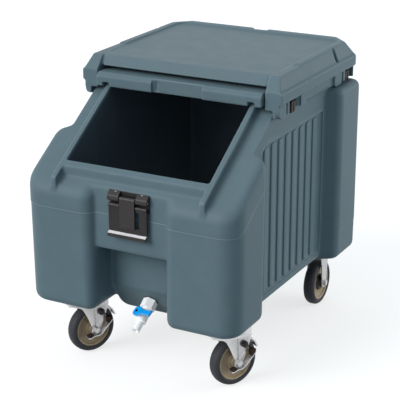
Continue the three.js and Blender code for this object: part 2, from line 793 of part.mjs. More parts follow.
// Front lid, lying on the level part of the rim
function frontLid() {
  const y0 = frontY + frontLidFrontSetback;
  const y1 = y0 + frontLidLength;
  const w = frontLidHalfWidth;
  const plateFoot = frontLidTop - frontLidThickness;
  const slab = prismX([
    [y0, frontLidFoot, frontLidRadius],
    [y1, frontLidFoot],
    [y1, frontLidTop, frontLidRadius],
    [y0 + frontLidBevel, frontLidTop],
    [y0, frontLidTop - frontLidBevel],
  ], -w, w);
  const ribOuter = wellHalfWidth - runnerClearance;
  const ribInner = ribOuter - runnerRib;
  const hollow = box(-ribInner, ribInner, y0 + frontLidLip, y1 + overrun,
    frontLidFoot - overrun, plateFoot);
  const groove = bothSides(box(ribOuter, wellHalfWidth + rimWidth + runnerClearance,
    y0 - overrun, y1 + overrun, frontLidFoot - overrun, rimTop + gap));
  const recess = box(-fingerRecessHalfWidth, fingerRecessHalfWidth, y0 - overrun, y0 + fingerRecessDepth,
    frontLidFoot - overrun, tall);
  return cut(slab, hollow, groove, recess);
}

// Latch
const latchPinY = latchPanelY - latchPinOut;
const latchBarY = latchPanelY - latchBarOut;
const latchScrewPlaces = () => [-latchScrewX, latchScrewX].map((x) => [x, latchPlateTop - latchScrewDrop]);

function latchBase() {
  const y1 = latchPanelY - gap;
  const y0 = y1 - latchPlateThickness;
  const inner = strapHalfWidth + strapClearance;
  const plate = box(-latchHalfWidth, latchHalfWidth, y0, y1, latchPlateTop - latchPlateHeight, latchPlateTop);
  const barrel = rodX(barrelRadius, inner, latchHalfWidth, latchPinY, latchPinHeight, roundSides);
  const block = box(inner, latchHalfWidth, latchPinY, y0 + gap,
    latchPinHeight, latchPinHeight + barrelRadius);
  const pin = rodX(latchPinRadius + gap, -bodyPad, bodyPad, latchPinY, latchPinHeight);
  const screws = latchScrewPlaces().map(([x, z]) => rod(latchScrewRadius + gap, -overrun, overrun)
    .rotate([90, 0, 0]).translate([x, y1, z]));
  return cut(join(plate, bothSides(join(barrel, block))), pin, screws);
}

function latchLever() {
  const w = strapHalfWidth;
  const y1 = latchPinY - barrelRadius + strapThickness / 2;
  const strap = box(-w, w, y1 - strapThickness, y1, latchPlateTop - strapDrop, latchPinHeight);
  const upper = rodX(barrelRadius, -w, w, latchPinY, latchPinHeight, roundSides);
  const lower = rodX(knuckleRadius, -w, w, latchBarY, latchBarHeight);
  const web = box(-w, w, y1 - strapThickness / 2, latchBarY, latchBarHeight, latchPinHeight);
  const pin = rodX(latchPinRadius + gap, -bodyPad, bodyPad, latchPinY, latchPinHeight);
  const bar = rodX(latchBarRadius + gap, -bodyPad, bodyPad, latchBarY, latchBarHeight);
  return cut(join(strap, upper, lower, web), pin, bar);
}

function latchHook() {
  const y1 = latchBarY + hookThickness / 2;
  const y0 = y1 - hookThickness;
  const lipY = y1 - hookLipLength;
  const inner = strapHalfWidth + strapClearance;
  const arm = box(inner, hookHalfWidth, y0, y1, hookFoot, latchBarHeight);
  const knuckle = rodX(knuckleRadius, inner, hookHalfWidth, latchBarY, latchBarHeight);
  const cross = box(-hookHalfWidth, hookHalfWidth, y0, y1, hookFoot, latchPlateTop - hookCrossDrop);
  const ledge = box(-hookHalfWidth, hookHalfWidth, lipY, y1, hookFoot, hookFoot + hookLipThickness);
  const lip = box(-hookHalfWidth, hookHalfWidth, lipY, lipY + hookLipThickness, hookFoot - hookLipDrop,
    hookFoot + hookLipThickness);
  const bar = rodX(latchBarRadius + gap, -bodyPad, bodyPad, latchBarY, latchBarHeight);
  return cut(join(bothSides(join(arm, knuckle)), cross, ledge, lip), bar);
}

const latchPin = () => rodX(latchPinRadius, -latchHalfWidth, latchHalfWidth, latchPinY, latchPinHeight);
const latchBar = () => rodX(latchBarRadius, -hookHalfWidth, hookHalfWidth, latchBarY, latchBarHeight);

function latchScrew([x, z]) {
  const seat = gap + latchPlateThickness + gap;
  const screw = join(
    rod(latchScrewRadius, -latchScrewGrip, seat + gap),
    rod(latchScrewHeadRadius, seat, seat + latchScrewHeadHeight),
  );
  return screw.rotate([90, 0, 0]).translate([x, latchPanelY, z]);
}

// Drain, from the well outwards
const tube = (outer, inner, z0, z1, sides = roundSides) =>
  turned([[inner, z0], [outer, z0], [outer, z1], [inner, z1], [inner, z0]], sides);
const drainNutStart = gap + gasketThickness + gap;
const faucetStart = drainNutStart + unionLength;
const faucetMiddle = faucetStart + faucetNeckLength + faucetBodyLength / 2;

const ballSolid = (radius) => solidOf(new THREE.SphereGeometry(radius, roundSides, smallSides));

// Stands a piece of the faucet on the flow axis, over the ball
const upward = (solid) => solid.rotate([-90, 0, 0]).translate([0, 0, faucetMiddle]);

const drainBulkhead = () => tube(drainTubeRadius, drainBoreRadius,
  -drainWall - drainTubeInside, drainTubeOutside);
const drainGasket = () => tube(gasketRadius, drainTubeRadius + gap, gap, gap + gasketThickness);
const drainLockNut = () => cut(
  rod(lockNutRadius, -drainWall - gap - lockNutThickness, -drainWall - gap, hexSides),
  rod(drainTubeRadius + gap, -drainWall - overrun, 0, roundSides),
);

function unionNut() {
  const hex = rod(unionRadius, drainNutStart, faucetStart, hexSides);
  const threads = rod(drainTubeRadius + gap, 0, drainTubeOutside + gap, roundSides);
  const neck = rod(faucetNeckRadius + gap, 0, faucetStart + gap, roundSides);
  return cut(hex, threads, neck);
}

function faucetBody() {
  const z0 = drainTubeOutside + 2 * gap;
  const z1 = faucetStart + faucetNeckLength;
  const z2 = z1 + faucetBodyLength;
  const shell = turned([
    [0, z0],
    [faucetNeckRadius, z0],
    [faucetNeckRadius, z1],
    [faucetBodyRadius, z1],
    [faucetBodyRadius, z2],
    [spoutRadius, z2],
    [spoutRadius, z2 + spoutLength],
    [0, z2 + spoutLength],
  ]);
  const boss = upward(rod(faucetBossRadius, 0, faucetBossHeight, roundSides));
  const bore = rod(drainBoreRadius, -overrun, z2 + spoutLength + overrun, roundSides);
  const ballSeat = ballSolid(ballRadius + gap).translate([0, 0, faucetMiddle]);
  const stemHole = upward(rod(stemRadius + gap, 0, faucetBossHeight + overrun));
  return cut(join(shell, boss), bore, ballSeat, stemHole);
}

function faucetBall() {
  const ball = cut(ballSolid(ballRadius), alongX(rod(drainBoreRadius, -overrun, overrun)));
  return cut(ball.translate([0, 0, faucetMiddle]), upward(rod(stemRadius + gap, 0, overrun)));
}

function faucetHandle() {
  const z0 = faucetBossHeight + gap;
  const hub = rod(handleHubRadius, z0, z0 + handleThickness, roundSides);
  const bar = prismZ([
    [0, -handleHubRadius],
    [handleLength, -handleTipHalfWidth, handleTipHalfWidth / 2],
    [handleLength, handleTipHalfWidth, handleTipHalfWidth / 2],
    [0, handleHubRadius],
  ], z0, z0 + handleThickness);
  const stem = rod(stemRadius, ballRadius / 2, z0 + handleThickness / 2);
  return upward(join(hub, bar, stem));
}

// Casters: each is built round the point on the floor under its plate, wheel axle along X
const axleLength = hubBossWidth + 2 * legGap + 2 * legThickness;
const legInner = hubBossWidth / 2 + legGap;

function casterPlate(dome) {
  const top = casterHeight;
  const plate = box(-plateWidth / 2, plateWidth / 2, -plateLength / 2, plateLength / 2,
    top - plateThickness, top);
  const holes = [-1, 1].flatMap((sx) => [-1, 1].map((sy) => rod(studRadius + studHoleClearance,
    top - overrun, top + overrun).translate([sx * studSpacingX / 2, sy * studSpacingY / 2, 0])));
  return cut(dome ? join(plate, rod(domeRadius, top - plateThickness - domeHeight, top - plateThickness + gap,
    roundSides)) : plate, holes);
}

const domeFoot = casterHeight - plateThickness - domeHeight;
const crownTop = domeFoot - gap - raceHeight - gap;
const crownFoot = crownTop - crownThickness;

const kingpinHole = () => rod(kingpinRadius + gap, 0, casterHeight + overrun, roundSides);
const swivelTopPlate = () => cut(casterPlate(true), kingpinHole());
const swivelRace = () => tube(raceRadius, kingpinRadius + gap, domeFoot - gap - raceHeight, domeFoot - gap);
const kingpin = () => join(
  rod(kingpinRadius, crownFoot - gap - kingpinHead, casterHeight - gap, roundSides),
  rod(kingpinHeadRadius, crownFoot - gap - kingpinHead, crownFoot - gap, roundSides),
);

// Both cheeks of a fork from the side outline of one, in (y, z), with the axle's holes
function forkCheeks(corners, axleY) {
  const cheek = prismX(corners, legInner, legInner + legThickness);
  const axle = rodX(axleRadius + gap, 0, bodyPad, axleY, wheelRadius);
  return bothSides(cut(cheek, axle));
}

// Pin of the brake shoe, in (y, z)
const shoePinAngle = THREE.MathUtils.degToRad(shoePinDegrees);
const shoePinY = trail + (wheelRadius + shoePinOut) * Math.cos(shoePinAngle);
const shoePinZ = wheelRadius + (wheelRadius + shoePinOut) * Math.sin(shoePinAngle);

function swivelFork() {
  const halfWidth = legInner + legThickness;
  const crown = common(
    join(rod(crownRadius, crownFoot, crownTop, roundSides), box(-halfWidth, halfWidth, 0, trail + forkTail,
      crownFoot, crownTop)),
    box(-halfWidth, halfWidth, -bodyPad, bodyPad, 0, casterHeight),
  );
  const cheeks = forkCheeks([
    [-forkNose, crownTop],
    [-forkNose, crownTop - forkCheekDrop / 2],
    [trail - legFootRadius, wheelRadius],
    [trail - legFootRadius / 2, wheelRadius - legFootRadius, legFootRadius / 2],
    [trail + legFootRadius, wheelRadius - legFootRadius / 2, legFootRadius / 2],
    [trail + forkTail, crownTop - forkCheekDrop],
    [trail + forkTail, crownTop],
  ], trail);
  const pin = rodX(shoePinRadius, -legInner - gap, legInner + gap, shoePinY, shoePinZ);
  return cut(join(crown, cheeks, pin), kingpinHole());
}

function rigidFork() {
  const cheeks = forkCheeks([
    [-legFootRadius, wheelRadius - legFootRadius, legFootRadius],
    [legFootRadius, wheelRadius - legFootRadius, legFootRadius],
    [rigidLegTop / 2, casterHeight - plateThickness / 2],
    [-rigidLegTop / 2, casterHeight - plateThickness / 2],
  ], 0);
  return join(casterPlate(false), cheeks);
}

function wheelTyre() {
  const half = tyreWidth / 2;
  const root = tyreRootRadius + gap;
  return alongX(turned([
    [root, -half],
    [wheelRadius - tyreShoulder, -half],
    [wheelRadius, -half + tyreShoulder],
    [wheelRadius, half - tyreShoulder],
    [wheelRadius - tyreShoulder, half],
    [root, half],
    [root, -half],
  ]));
}

function wheelHub() {
  const half = hubWidth / 2;
  const boss = hubBossWidth / 2;
  const bore = axleRadius + gap;
  return alongX(turned([
    [bore, -boss],
    [hubBossRadius, -boss],
    [hubBossRadius, -hubWeb / 2],
    [tyreRootRadius - hubRim, -hubWeb / 2],
    [tyreRootRadius - hubRim, -half],
    [tyreRootRadius, -half],
    [tyreRootRadius, half],
    [tyreRootRadius - hubRim, half],
    [tyreRootRadius - hubRim, hubWeb / 2],
    [hubBossRadius, hubWeb / 2],
    [hubBossRadius, boss],
    [bore, boss],
    [bore, -boss],
  ]));
}

// Axle with its head and nut; `washer` is what sits between the fork and the nut on the +X side
function axleBolt(side, washer) {
  const end = axleLength / 2 + gap;
  const bolt = alongX(join(
    rod(axleRadius, -end, end + washer + axleHeadLength + gap),
    rod(axleHeadRadius, -end - axleHeadLength, -end, hexSides),
    rod(axleNutRadius, end + washer, end + washer + axleHeadLength, hexSides),
  ));
  return side > 0 ? bolt : mirrorX(bolt);
}

function studPlate() {
  const halfX = studSpacingX / 2 + studRadius + backingMargin;
  const halfY = studSpacingY / 2 + studRadius + backingMargin;
  const foot = postFoot + skin + gap;
  const plate = box(-halfX, halfX, -halfY, halfY, foot, foot + backingThickness);
  const nutTop = casterHeight - plateThickness - gap;
  const studs = [-1, 1].flatMap((sx) => [-1, 1].map((sy) => join(
    rod(studRadius, nutTop - nutHeight - gap, foot + gap),
    rod(nutRadius, nutTop - nutHeight, nutTop, hexSides),
  ).translate([sx * studSpacingX / 2, sy * studSpacingY / 2, 0])));
  return join(plate, studs);
}

// Brake rocker, round the wheel's axle: a plate outside the fork with a pedal along its lower edge
const rockerInner = axleLength / 2 + gap;

function brakeRocker() {
  const edge = [
    [-rockerLowReach, -rockerLowDrop],
    [-rockerHub / 2, -rockerLowDrop],
    [rockerHub, -rockerBelly],
    [rockerHighReach, rockerHighRise - rockerBelly],
  ];
  const upper = [
    [rockerHighReach, rockerHighRise],
    [rockerHighReach - rockerHub, rockerHighRise],
    [0, rockerHub],
    [-rockerHub, rockerHub / 2],
    [-rockerLowReach, -rockerLowDrop + rockerHub / 2],
  ];
  const band = [...edge, ...edge.map(([y, z]) => [y, z + rockerThickness]).reverse()];
  const plate = prismX([...edge, ...upper], rockerInner, rockerInner + rockerThickness);
  const pedal = prismX(band, rockerInner, rockerInner + pedalWidth);
  const pads = [
    box(rockerInner, rockerInner + pedalWidth, rockerHighReach - pedalBlock, rockerHighReach - gap,
      rockerHighRise - pedalBlock, rockerHighRise - gap),
    box(rockerInner, rockerInner + pedalWidth, -rockerLowReach + gap, -rockerLowReach + pedalBlock,
      -rockerLowDrop + gap, -rockerLowDrop + pedalBlock / 2),
  ];
  return cut(join(plate, pedal, pads), rodX(axleRadius + gap, 0, bodyPad, 0, 0, roundSides),
    rodX(axleHeadRadius + gap, rockerInner + rockerThickness, bodyPad, 0, 0, roundSides));
}

function brakeShoe() {
  const inner = wheelRadius + shoeClearance;
  const half = tyreWidth / 2;
  const ring = cut(
    rodX(inner + shoeThickness, -half, half, trail, wheelRadius, roundSides),
    rodX(inner, -bodyPad, bodyPad, trail, wheelRadius, roundSides),
  );
  const corner = (degrees, radius) => {
    const angle = THREE.MathUtils.degToRad(degrees);
    return [trail + radius * Math.cos(angle), wheelRadius + radius * Math.sin(angle)];
  };
  const sector = prismX([
    corner(shoePinDegrees - shoeDegrees, inner / 2),
    corner(shoePinDegrees - shoeDegrees, 2 * inner),
    corner(shoePinDegrees, 2 * inner),
    corner(shoePinDegrees, inner / 2),
  ], -half, half);
  const barrel = rodX(shoePinRadius + gap + shoeBarrelWall, -half, half, shoePinY, shoePinZ);
  const hole = rodX(shoePinRadius + gap, -bodyPad, bodyPad, shoePinY, shoePinZ);
  const tread = rodX(inner - gap, -bodyPad, bodyPad, trail, wheelRadius, roundSides);
  return cut(join(common(ring, sector), barrel), hole, tread);
}

// The scene graph
const bin = new THREE.Group();
const add = (parent, name, solid, material) => parent.add(meshOf(name, solid, material));

add(bin, 'body_shell', bodyShell(), slate);
add(bin, 'foam_core', foamCore(), foamYellow);
portPlaces.forEach((y, i) => add(bin, `fill_plug_${i ? 'rear' : 'front'}`, fillPlug(y), slate));
add(bin, 'drain_shelf', drainShelf(), slate);
add(bin, 'top_lid', topLid(), slate);
add(bin, 'lid_foam_core', lidFoam(gap), foamYellow);
add(bin, 'lid_fill_plug', lidPort(lidPortRadius - gap, skin), slate);
add(bin, 'front_lid', frontLid(), slate);

for (const side of [-1, 1]) {
  const sideName = side > 0 ? 'right' : 'left';
  boltPlaces.forEach((y, i) => add(bin, `lid_bolt_${i ? 'rear' : 'front'}_${sideName}`, lidBolt(side, y),
    nylonBrown));
}

add(bin, 'latch_base', latchBase(), nylonBlack);
add(bin, 'latch_lever', latchLever(), nylonBlack);
add(bin, 'latch_hook', latchHook(), nylonBlack);
add(bin, 'latch_pin', latchPin(), zinc);
add(bin, 'latch_bar', latchBar(), nylonBlack);
latchScrewPlaces().forEach((place, i) => {
  add(bin, `latch_screw_${i ? 'right' : 'left'}`, latchScrew(place), zinc);
});

const drain = new THREE.Group();
drain.position.set(0, drainSeat.x, drainSeat.y);
drain.rotation.set(THREE.MathUtils.degToRad(drainTilt), 0, 0);
bin.add(drain);
add(drain, 'drain_bulkhead', drainBulkhead(), whitePlastic);
add(drain, 'drain_gasket', drainGasket(), sealRubber);
add(drain, 'drain_lock_nut', drainLockNut(), whitePlastic);
add(drain, 'union_nut', unionNut(), whitePlastic);
const faucet = new THREE.Group();
faucet.rotation.z = THREE.MathUtils.degToRad(faucetRoll);
drain.add(faucet);
add(faucet, 'faucet_body', faucetBody(), whitePlastic);
add(faucet, 'faucet_ball', faucetBall(), whitePlastic);
add(faucet, 'faucet_handle', faucetHandle(), bluePlastic);

for (const side of [-1, 1]) {
  const sideName = side > 0 ? 'right' : 'left';

  const front = new THREE.Group();
  front.position.set(side * casterX, frontCasterY, 0);
  bin.add(front);
  add(front, `front_${sideName}_studs`, studPlate(), zinc);
  add(front, `front_${sideName}_top_plate`, swivelTopPlate(), zinc);
  add(front, `front_${sideName}_swivel_race`, swivelRace(), zinc);
  add(front, `front_${sideName}_kingpin`, kingpin(), zinc);
  const turnedPart = new THREE.Group();
  turnedPart.rotation.z = -THREE.MathUtils.degToRad(swivelTurn);
  front.add(turnedPart);
  add(turnedPart, `front_${sideName}_fork`, swivelFork(), zinc);
  add(turnedPart, `front_${sideName}_brake_shoe`, brakeShoe(), zinc);
  const frontWheel = new THREE.Group();
  frontWheel.position.set(0, trail, wheelRadius);
  turnedPart.add(frontWheel);
  add(frontWheel, `front_${sideName}_hub`, wheelHub(), hubPlastic);
  add(frontWheel, `front_${sideName}_tyre`, wheelTyre(), tyreRubber);
  add(frontWheel, `front_${sideName}_axle`, axleBolt(1, rockerThickness + gap), zinc);
  add(frontWheel, `front_${sideName}_brake_rocker`, brakeRocker(), zinc);

  const rear = new THREE.Group();
  rear.position.set(side * casterX, rearCasterY, 0);
  bin.add(rear);
  add(rear, `rear_${sideName}_studs`, studPlate(), zinc);
  add(rear, `rear_${sideName}_fork`, rigidFork(), zinc);
  const rearWheel = new THREE.Group();
  rearWheel.position.set(0, 0, wheelRadius);
  rear.add(rearWheel);
  add(rearWheel, `rear_${sideName}_hub`, wheelHub(), hubPlastic);
  add(rearWheel, `rear_${sideName}_tyre`, wheelTyre(), tyreRubber);
  add(rearWheel, `rear_${sideName}_axle`, axleBolt(side, 0), zinc);
}

export default bin;
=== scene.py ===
# %% [markdown]
# # A mobile ice bin, dressed in Blender
# The bin is a double-walled moulded box on four casters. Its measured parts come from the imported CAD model,
# which stays fixed and says where everything goes. Each part that shows is then modelled again here, with
# the rounded corners, small marks and surfaces of the real one. All places in this file are in millimetres:
# the origin is on the floor under the middle of the bin, X points to its right side, -Y to its front and Z
# up.

import math

import bmesh
import bpy
import numpy as np
from mathutils import Matrix, Vector


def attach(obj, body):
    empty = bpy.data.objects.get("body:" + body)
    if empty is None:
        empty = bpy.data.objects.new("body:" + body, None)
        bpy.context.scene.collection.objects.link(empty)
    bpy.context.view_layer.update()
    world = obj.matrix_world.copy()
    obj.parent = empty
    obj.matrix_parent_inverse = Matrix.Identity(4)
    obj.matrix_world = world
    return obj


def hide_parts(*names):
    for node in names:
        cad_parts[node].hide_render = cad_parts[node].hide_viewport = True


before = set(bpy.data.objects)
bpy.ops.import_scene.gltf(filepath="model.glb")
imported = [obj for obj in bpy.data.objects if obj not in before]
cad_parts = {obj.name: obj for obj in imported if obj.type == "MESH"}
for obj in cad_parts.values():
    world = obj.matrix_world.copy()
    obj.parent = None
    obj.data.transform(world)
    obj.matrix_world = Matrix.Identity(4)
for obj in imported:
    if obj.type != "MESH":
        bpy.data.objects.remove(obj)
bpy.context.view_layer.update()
MM = 0.001

# %% [markdown]
# ## The camera
# The camera comes first, so that every later step can be looked at from the photograph's side. A long lens
# far away keeps the edges of the bin nearly parallel, as a product photographer would choose.

# %% Make the camera
EYE = Vector((1596.9, -2990.1, 1555.8))
TO_THE_RIGHT = Vector((0.8820, 0.4712, 0.0))
BACKWARDS = Vector((0.4445, -0.8320, 0.3320))
LENS = 124.93

right = TO_THE_RIGHT.normalized()
upwards = BACKWARDS.cross(right).normalized()
backwards = right.cross(upwards)
camera_data = bpy.data.cameras.new("camera")
camera_data.lens = LENS
camera_data.sensor_width = 36
camera_data.clip_start = 0.1
camera_data.clip_end = 50
camera = bpy.data.objects.new("camera", camera_data)
turn = Matrix((right, upwards, backwards)).transposed()
camera.matrix_world = Matrix.Translation(EYE * MM) @ turn.to_4x4()
bpy.context.scene.collection.objects.link(camera)
bpy.context.scene.camera = camera
print("camera at", [round(v, 3) for v in camera.location])

# %% [markdown]
# ## Helpers for solid shapes
# Every piece starts as a primitive of Blender's, put at its size and place. A block is a cube between two
# stations along each axis. A prism is a circle whose corners are moved to the corners of an outline, filled
# and extruded, and each corner that has a radius is bevelled round. A rod is a cylinder turned to lie
# between two places. Places that differ by less than the value TOUCHING count as the same.

# %% Blocks, prisms and rods
TOUCHING = 0.01


def solo(obj):
    """Leaves this object alone selected and active."""
    bpy.ops.object.select_all(action="DESELECT")
    obj.select_set(True)
    bpy.context.view_layer.objects.active = obj


def block(name, x, y, z):
    """A box between two stations along each axis."""
    bpy.ops.object.select_all(action="DESELECT")
    middle = [(low + high) / 2 * MM for low, high in (x, y, z)]
    bpy.ops.mesh.primitive_cube_add(size=1, location=middle)
    obj = bpy.context.object
    obj.scale = [(high - low) * MM for low, high in (x, y, z)]
    bpy.ops.object.transform_apply(location=True, rotation=True, scale=True)
    obj.name = name
    return obj


def pick_edges(obj, test):
    """Goes into edit mode with those edges selected whose two ends pass the test."""
    solo(obj)
    bpy.ops.object.mode_set(mode="EDIT")
    bpy.ops.mesh.select_mode(type="EDGE")
    bpy.ops.mesh.select_all(action="DESELECT")
    mesh = bmesh.from_edit_mesh(obj.data)
    for edge in mesh.edges:
        a, b = (vertex.co / MM for vertex in edge.verts)
        if test(a, b):
            edge.select_set(True)
    bmesh.update_edit_mesh(obj.data)


def round_edges(obj, radius, test, segments=4):
    """Bevels the edges that pass the test."""
    pick_edges(obj, test)
    bpy.ops.mesh.bevel(offset=radius * MM, segments=segments, affect="EDGES", clamp_overlap=True)
    bpy.ops.object.mode_set(mode="OBJECT")


def round_ends(obj, axis, stations, radius, segments=4):
    """Bevels a prism's outline at each station in turn. A station that is given twice is bevelled twice."""
    for station in stations:
        round_edges(obj, radius, lambda a, b: max(abs(a[axis] - station), abs(b[axis] - station)) < TOUCHING,
                    segments)


AXES = {"X": lambda u, v, w: (w, u, v), "Y": lambda u, v, w: (u, w, v), "Z": lambda u, v, w: (u, v, w)}


def prism(name, axis, corners, low, high, segments=8):
    """An outline of corners (u, v, radius) drawn out along an axis.

    The outline is in (y, z) along X, in (x, z) along Y and in (x, y) along Z.
    """
    place = AXES[axis]
    bpy.ops.object.select_all(action="DESELECT")
    bpy.ops.mesh.primitive_circle_add(vertices=len(corners), fill_type="NGON")
    obj = bpy.context.object
    for vertex, corner in zip(obj.data.vertices, corners):
        vertex.co = Vector(place(corner[0], corner[1], low)) * MM
    bpy.ops.object.mode_set(mode="EDIT")
    bpy.ops.mesh.select_all(action="SELECT")
    reach = Vector(place(0, 0, high - low)) * MM
    bpy.ops.mesh.extrude_region_move(TRANSFORM_OT_translate={"value": reach})
    bpy.ops.mesh.select_all(action="SELECT")
    bpy.ops.mesh.normals_make_consistent(inside=False)
    bpy.ops.object.mode_set(mode="OBJECT")
    for i, corner in enumerate(corners):
        if len(corner) < 3 or corner[2] == 0:
            continue
        here = Vector(corner[:2])
        to_last = (Vector(corners[i - 1][:2]) - here).normalized()
        to_next = (Vector(corners[(i + 1) % len(corners)][:2]) - here).normalized()
        offset = corner[2] / math.tan(to_last.angle(to_next) / 2)
        ends = [Vector(place(here.x, here.y, w)) for w in (low, high)]
        round_edges(obj, offset, lambda a, b: all(min((p - end).length for end in ends) < TOUCHING
                                                  for p in (a, b)), segments)
    obj.name = name
    return obj


def rod(name, radius, start, end, sides=32):
    """A cylinder between two places."""
    start, end = Vector(start), Vector(end)
    bpy.ops.object.select_all(action="DESELECT")
    turn = (end - start).to_track_quat("Z", "Y").to_euler()
    bpy.ops.mesh.primitive_cylinder_add(vertices=sides, radius=radius * MM, depth=(end - start).length * MM,
                                        location=(start + end) / 2 * MM, rotation=turn)
    bpy.ops.object.transform_apply(location=True, rotation=True, scale=True)
    obj = bpy.context.object
    obj.name = name
    return obj


def pin(name, radius, place, start, end, sides=24):
    """A cylinder along X, at a place given in (y, z)."""
    return rod(name, radius, (start, *place), (end, *place), sides=sides)


# %% [markdown]
# Solids are joined and cut with the Boolean modifier, which is applied at once. A slanted cut is a bisect
# in edit mode. Much of the body and of the top lid is made only for the right side, and a Mirror modifier
# gives the left.

# %% Cut, join, slice and mirror
def combine(obj, tools, how):
    """Applies one Boolean per tool and deletes the tools."""
    for tool in tools:
        solo(obj)
        modifier = obj.modifiers.new(how, "BOOLEAN")
        modifier.operation = how
        modifier.solver = "EXACT"
        modifier.material_mode = "TRANSFER"
        modifier.object = tool
        bpy.ops.object.modifier_apply(modifier=modifier.name)
        bpy.data.objects.remove(tool)
    return obj


def join(obj, *tools):
    """Adds the tools to the object."""
    return combine(obj, tools, "UNION")


def cut(obj, *tools):
    """Takes the tools away from the object."""
    return combine(obj, tools, "DIFFERENCE")


def common(obj, *tools):
    """Keeps what the object and every tool have in common."""
    return combine(obj, tools, "INTERSECT")


def slice_off(obj, point, normal):
    """Cuts away what lies beyond a plane, and closes the cut."""
    solo(obj)
    bpy.ops.object.mode_set(mode="EDIT")
    bpy.ops.mesh.select_all(action="SELECT")
    bpy.ops.mesh.bisect(plane_co=Vector(point) * MM, plane_no=normal, use_fill=True, clear_outer=True)
    bpy.ops.object.mode_set(mode="OBJECT")


def mirrored(obj):
    """Keeps the right half and mirrors it to the left."""
    solo(obj)
    modifier = obj.modifiers.new("halves", "MIRROR")
    modifier.use_axis[0] = True
    modifier.use_bisect_axis[0] = True
    modifier.merge_threshold = 0.05 * MM
    bpy.ops.object.modifier_apply(modifier=modifier.name)
    return obj


# %% [markdown]
# Rotationally moulded plastic has no sharp corners: the powder melts into every corner of the mould and
# leaves a soft fillet, inside and out. A voxel remesh gives the whole joined shape one even skin, smoothing
# rounds its corners, and Decimate takes away the faces that the flat areas don't need.

# %% Soften a moulded piece
def soften(obj, voxel, passes):
    """Remeshes and smooths a piece."""
    solo(obj)
    remesh = obj.modifiers.new("even skin", "REMESH")
    remesh.mode = "VOXEL"
    remesh.voxel_size = voxel * MM
    bpy.ops.object.modifier_apply(modifier=remesh.name)
    smooth = obj.modifiers.new("soft corners", "SMOOTH")
    smooth.factor = 0.5
    smooth.iterations = passes
    bpy.ops.object.modifier_apply(modifier=smooth.name)


def thin_out(obj, triangles):
    """Takes away faces that the flat areas don't need, and shades the piece smooth."""
    solo(obj)
    count = 2 * len(obj.data.polygons)
    if count > triangles:
        thin = obj.modifiers.new("fewer faces", "DECIMATE")
        thin.ratio = triangles / count
        bpy.ops.object.modifier_apply(modifier=thin.name)
    bpy.ops.object.shade_smooth()
    print(obj.name, "has", len(obj.data.polygons), "faces after", count)


# %% [markdown]
# ## The body
# The body is one moulded shell. Its core is a box whose front is cut off by a slanted shoulder. Four corner
# posts carry the casters, a keel between them holds the lowest part of the tank, and the latch sits on a
# panel above it. Each post is drawn out from its plan, and the outlines of its foot and its top are then
# rounded as a whole.

# %% Core of the body
HALF_WIDTH = 292
HALF_DEPTH = 375
CORE_SIDE = 252
CORE_FOOT = 180
CORE_TOP = 660
CORE_REAR = 350
LATCH_PANEL = -351
SHOULDER_FOOT = 476.5
SLOPE = math.tan(math.radians(32.6))


def slope_at(y):
    """Height of the slanted shoulder above the floor."""
    return SHOULDER_FOOT + SLOPE * (y + HALF_DEPTH)


def same_x(a, b):
    """Whether both ends of an edge are equally far to the right."""
    return abs(a.x - b.x) < 1


def on_a_side(a, b):
    """Whether an edge lies in one of the core's two side walls."""
    return abs(a.x) > CORE_SIDE - 1 and same_x(a, b)


body = prism("body", "X", [
    (-255, CORE_FOOT), (CORE_REAR, CORE_FOOT), (CORE_REAR, CORE_TOP, 8), (-88, CORE_TOP, 6),
    (LATCH_PANEL, 491.85, 12), (LATCH_PANEL, 332, 9), (-255, 346),
], -CORE_SIDE, CORE_SIDE)
round_edges(body, 24, lambda a, b: min(a.y, b.y) > CORE_REAR - 1 and on_a_side(a, b))
round_edges(body, 7, lambda a, b: on_a_side(a, b) and min(a.z, b.z) > 470 and a.y < 340)
round_edges(body, 20, lambda a, b: max(a.z, b.z) < CORE_FOOT + 1 and abs(a.x) > 240 and same_x(a, b),
            segments=1)
print("core faces:", len(body.data.polygons))

# %% Corner posts and keel
POST_INNER = 98
POST_FOOT = 168
FRONT_POST_ROUNDING = 21
REAR_POST_TOP = 640
REAR_POST_ROUNDING = 17
KEEL_SIDE = 106
SHOULDER = Vector((0, -HALF_DEPTH, SHOULDER_FOOT))
SHOULDER_NORMAL = Vector((0, -SLOPE, 1)).normalized()


def on_the_shoulder(a, b):
    """Whether an edge lies in the slanted plane of the shoulder."""
    return all(abs((p - SHOULDER).dot(SHOULDER_NORMAL)) < TOUCHING for p in (a, b))


front_post = prism("front_post", "Z", [
    (POST_INNER, -HALF_DEPTH, 32), (HALF_WIDTH, -HALF_DEPTH, 50), (HALF_WIDTH, -215, 27),
    (POST_INNER, -108.4),
], POST_FOOT, 720)
round_ends(front_post, 2, (POST_FOOT,), FRONT_POST_ROUNDING, segments=6)
slice_off(front_post, SHOULDER, SHOULDER_NORMAL)
round_edges(front_post, FRONT_POST_ROUNDING, on_the_shoulder, segments=6)
rear_post = prism("rear_post", "Z", [(140, 130.3), (HALF_WIDTH, 229, 27), (HALF_WIDTH, 366, 27), (140, 366)],
                  POST_FOOT, REAR_POST_TOP)
round_ends(rear_post, 2, (POST_FOOT, REAR_POST_TOP), REAR_POST_ROUNDING, segments=6)
keel = prism("keel", "X", [
    (-282, 360), (-282, 215, 14), (-230, 137, 14), (330, 137, 14), (330, 360),
], -KEEL_SIDE, KEEL_SIDE)
round_ends(keel, 0, (-KEEL_SIDE, KEEL_SIDE), 12)
common(keel, prism("keel_end", "Y", [
    (-105.9, 137.1, 34), (105.9, 137.1, 34), (105.9, 355), (-105.9, 355),
], -300, 340))
join(body, front_post, rear_post, keel)
print("with posts and keel:", len(body.data.polygons))

# %% [markdown]
# The opening has a raised rim, and on both sides the rim runs on to the front edge as a rail for the front
# lid. The well for the ice is cut down through it. Its front wall steps back below the shoulder, where the
# drain needs room.

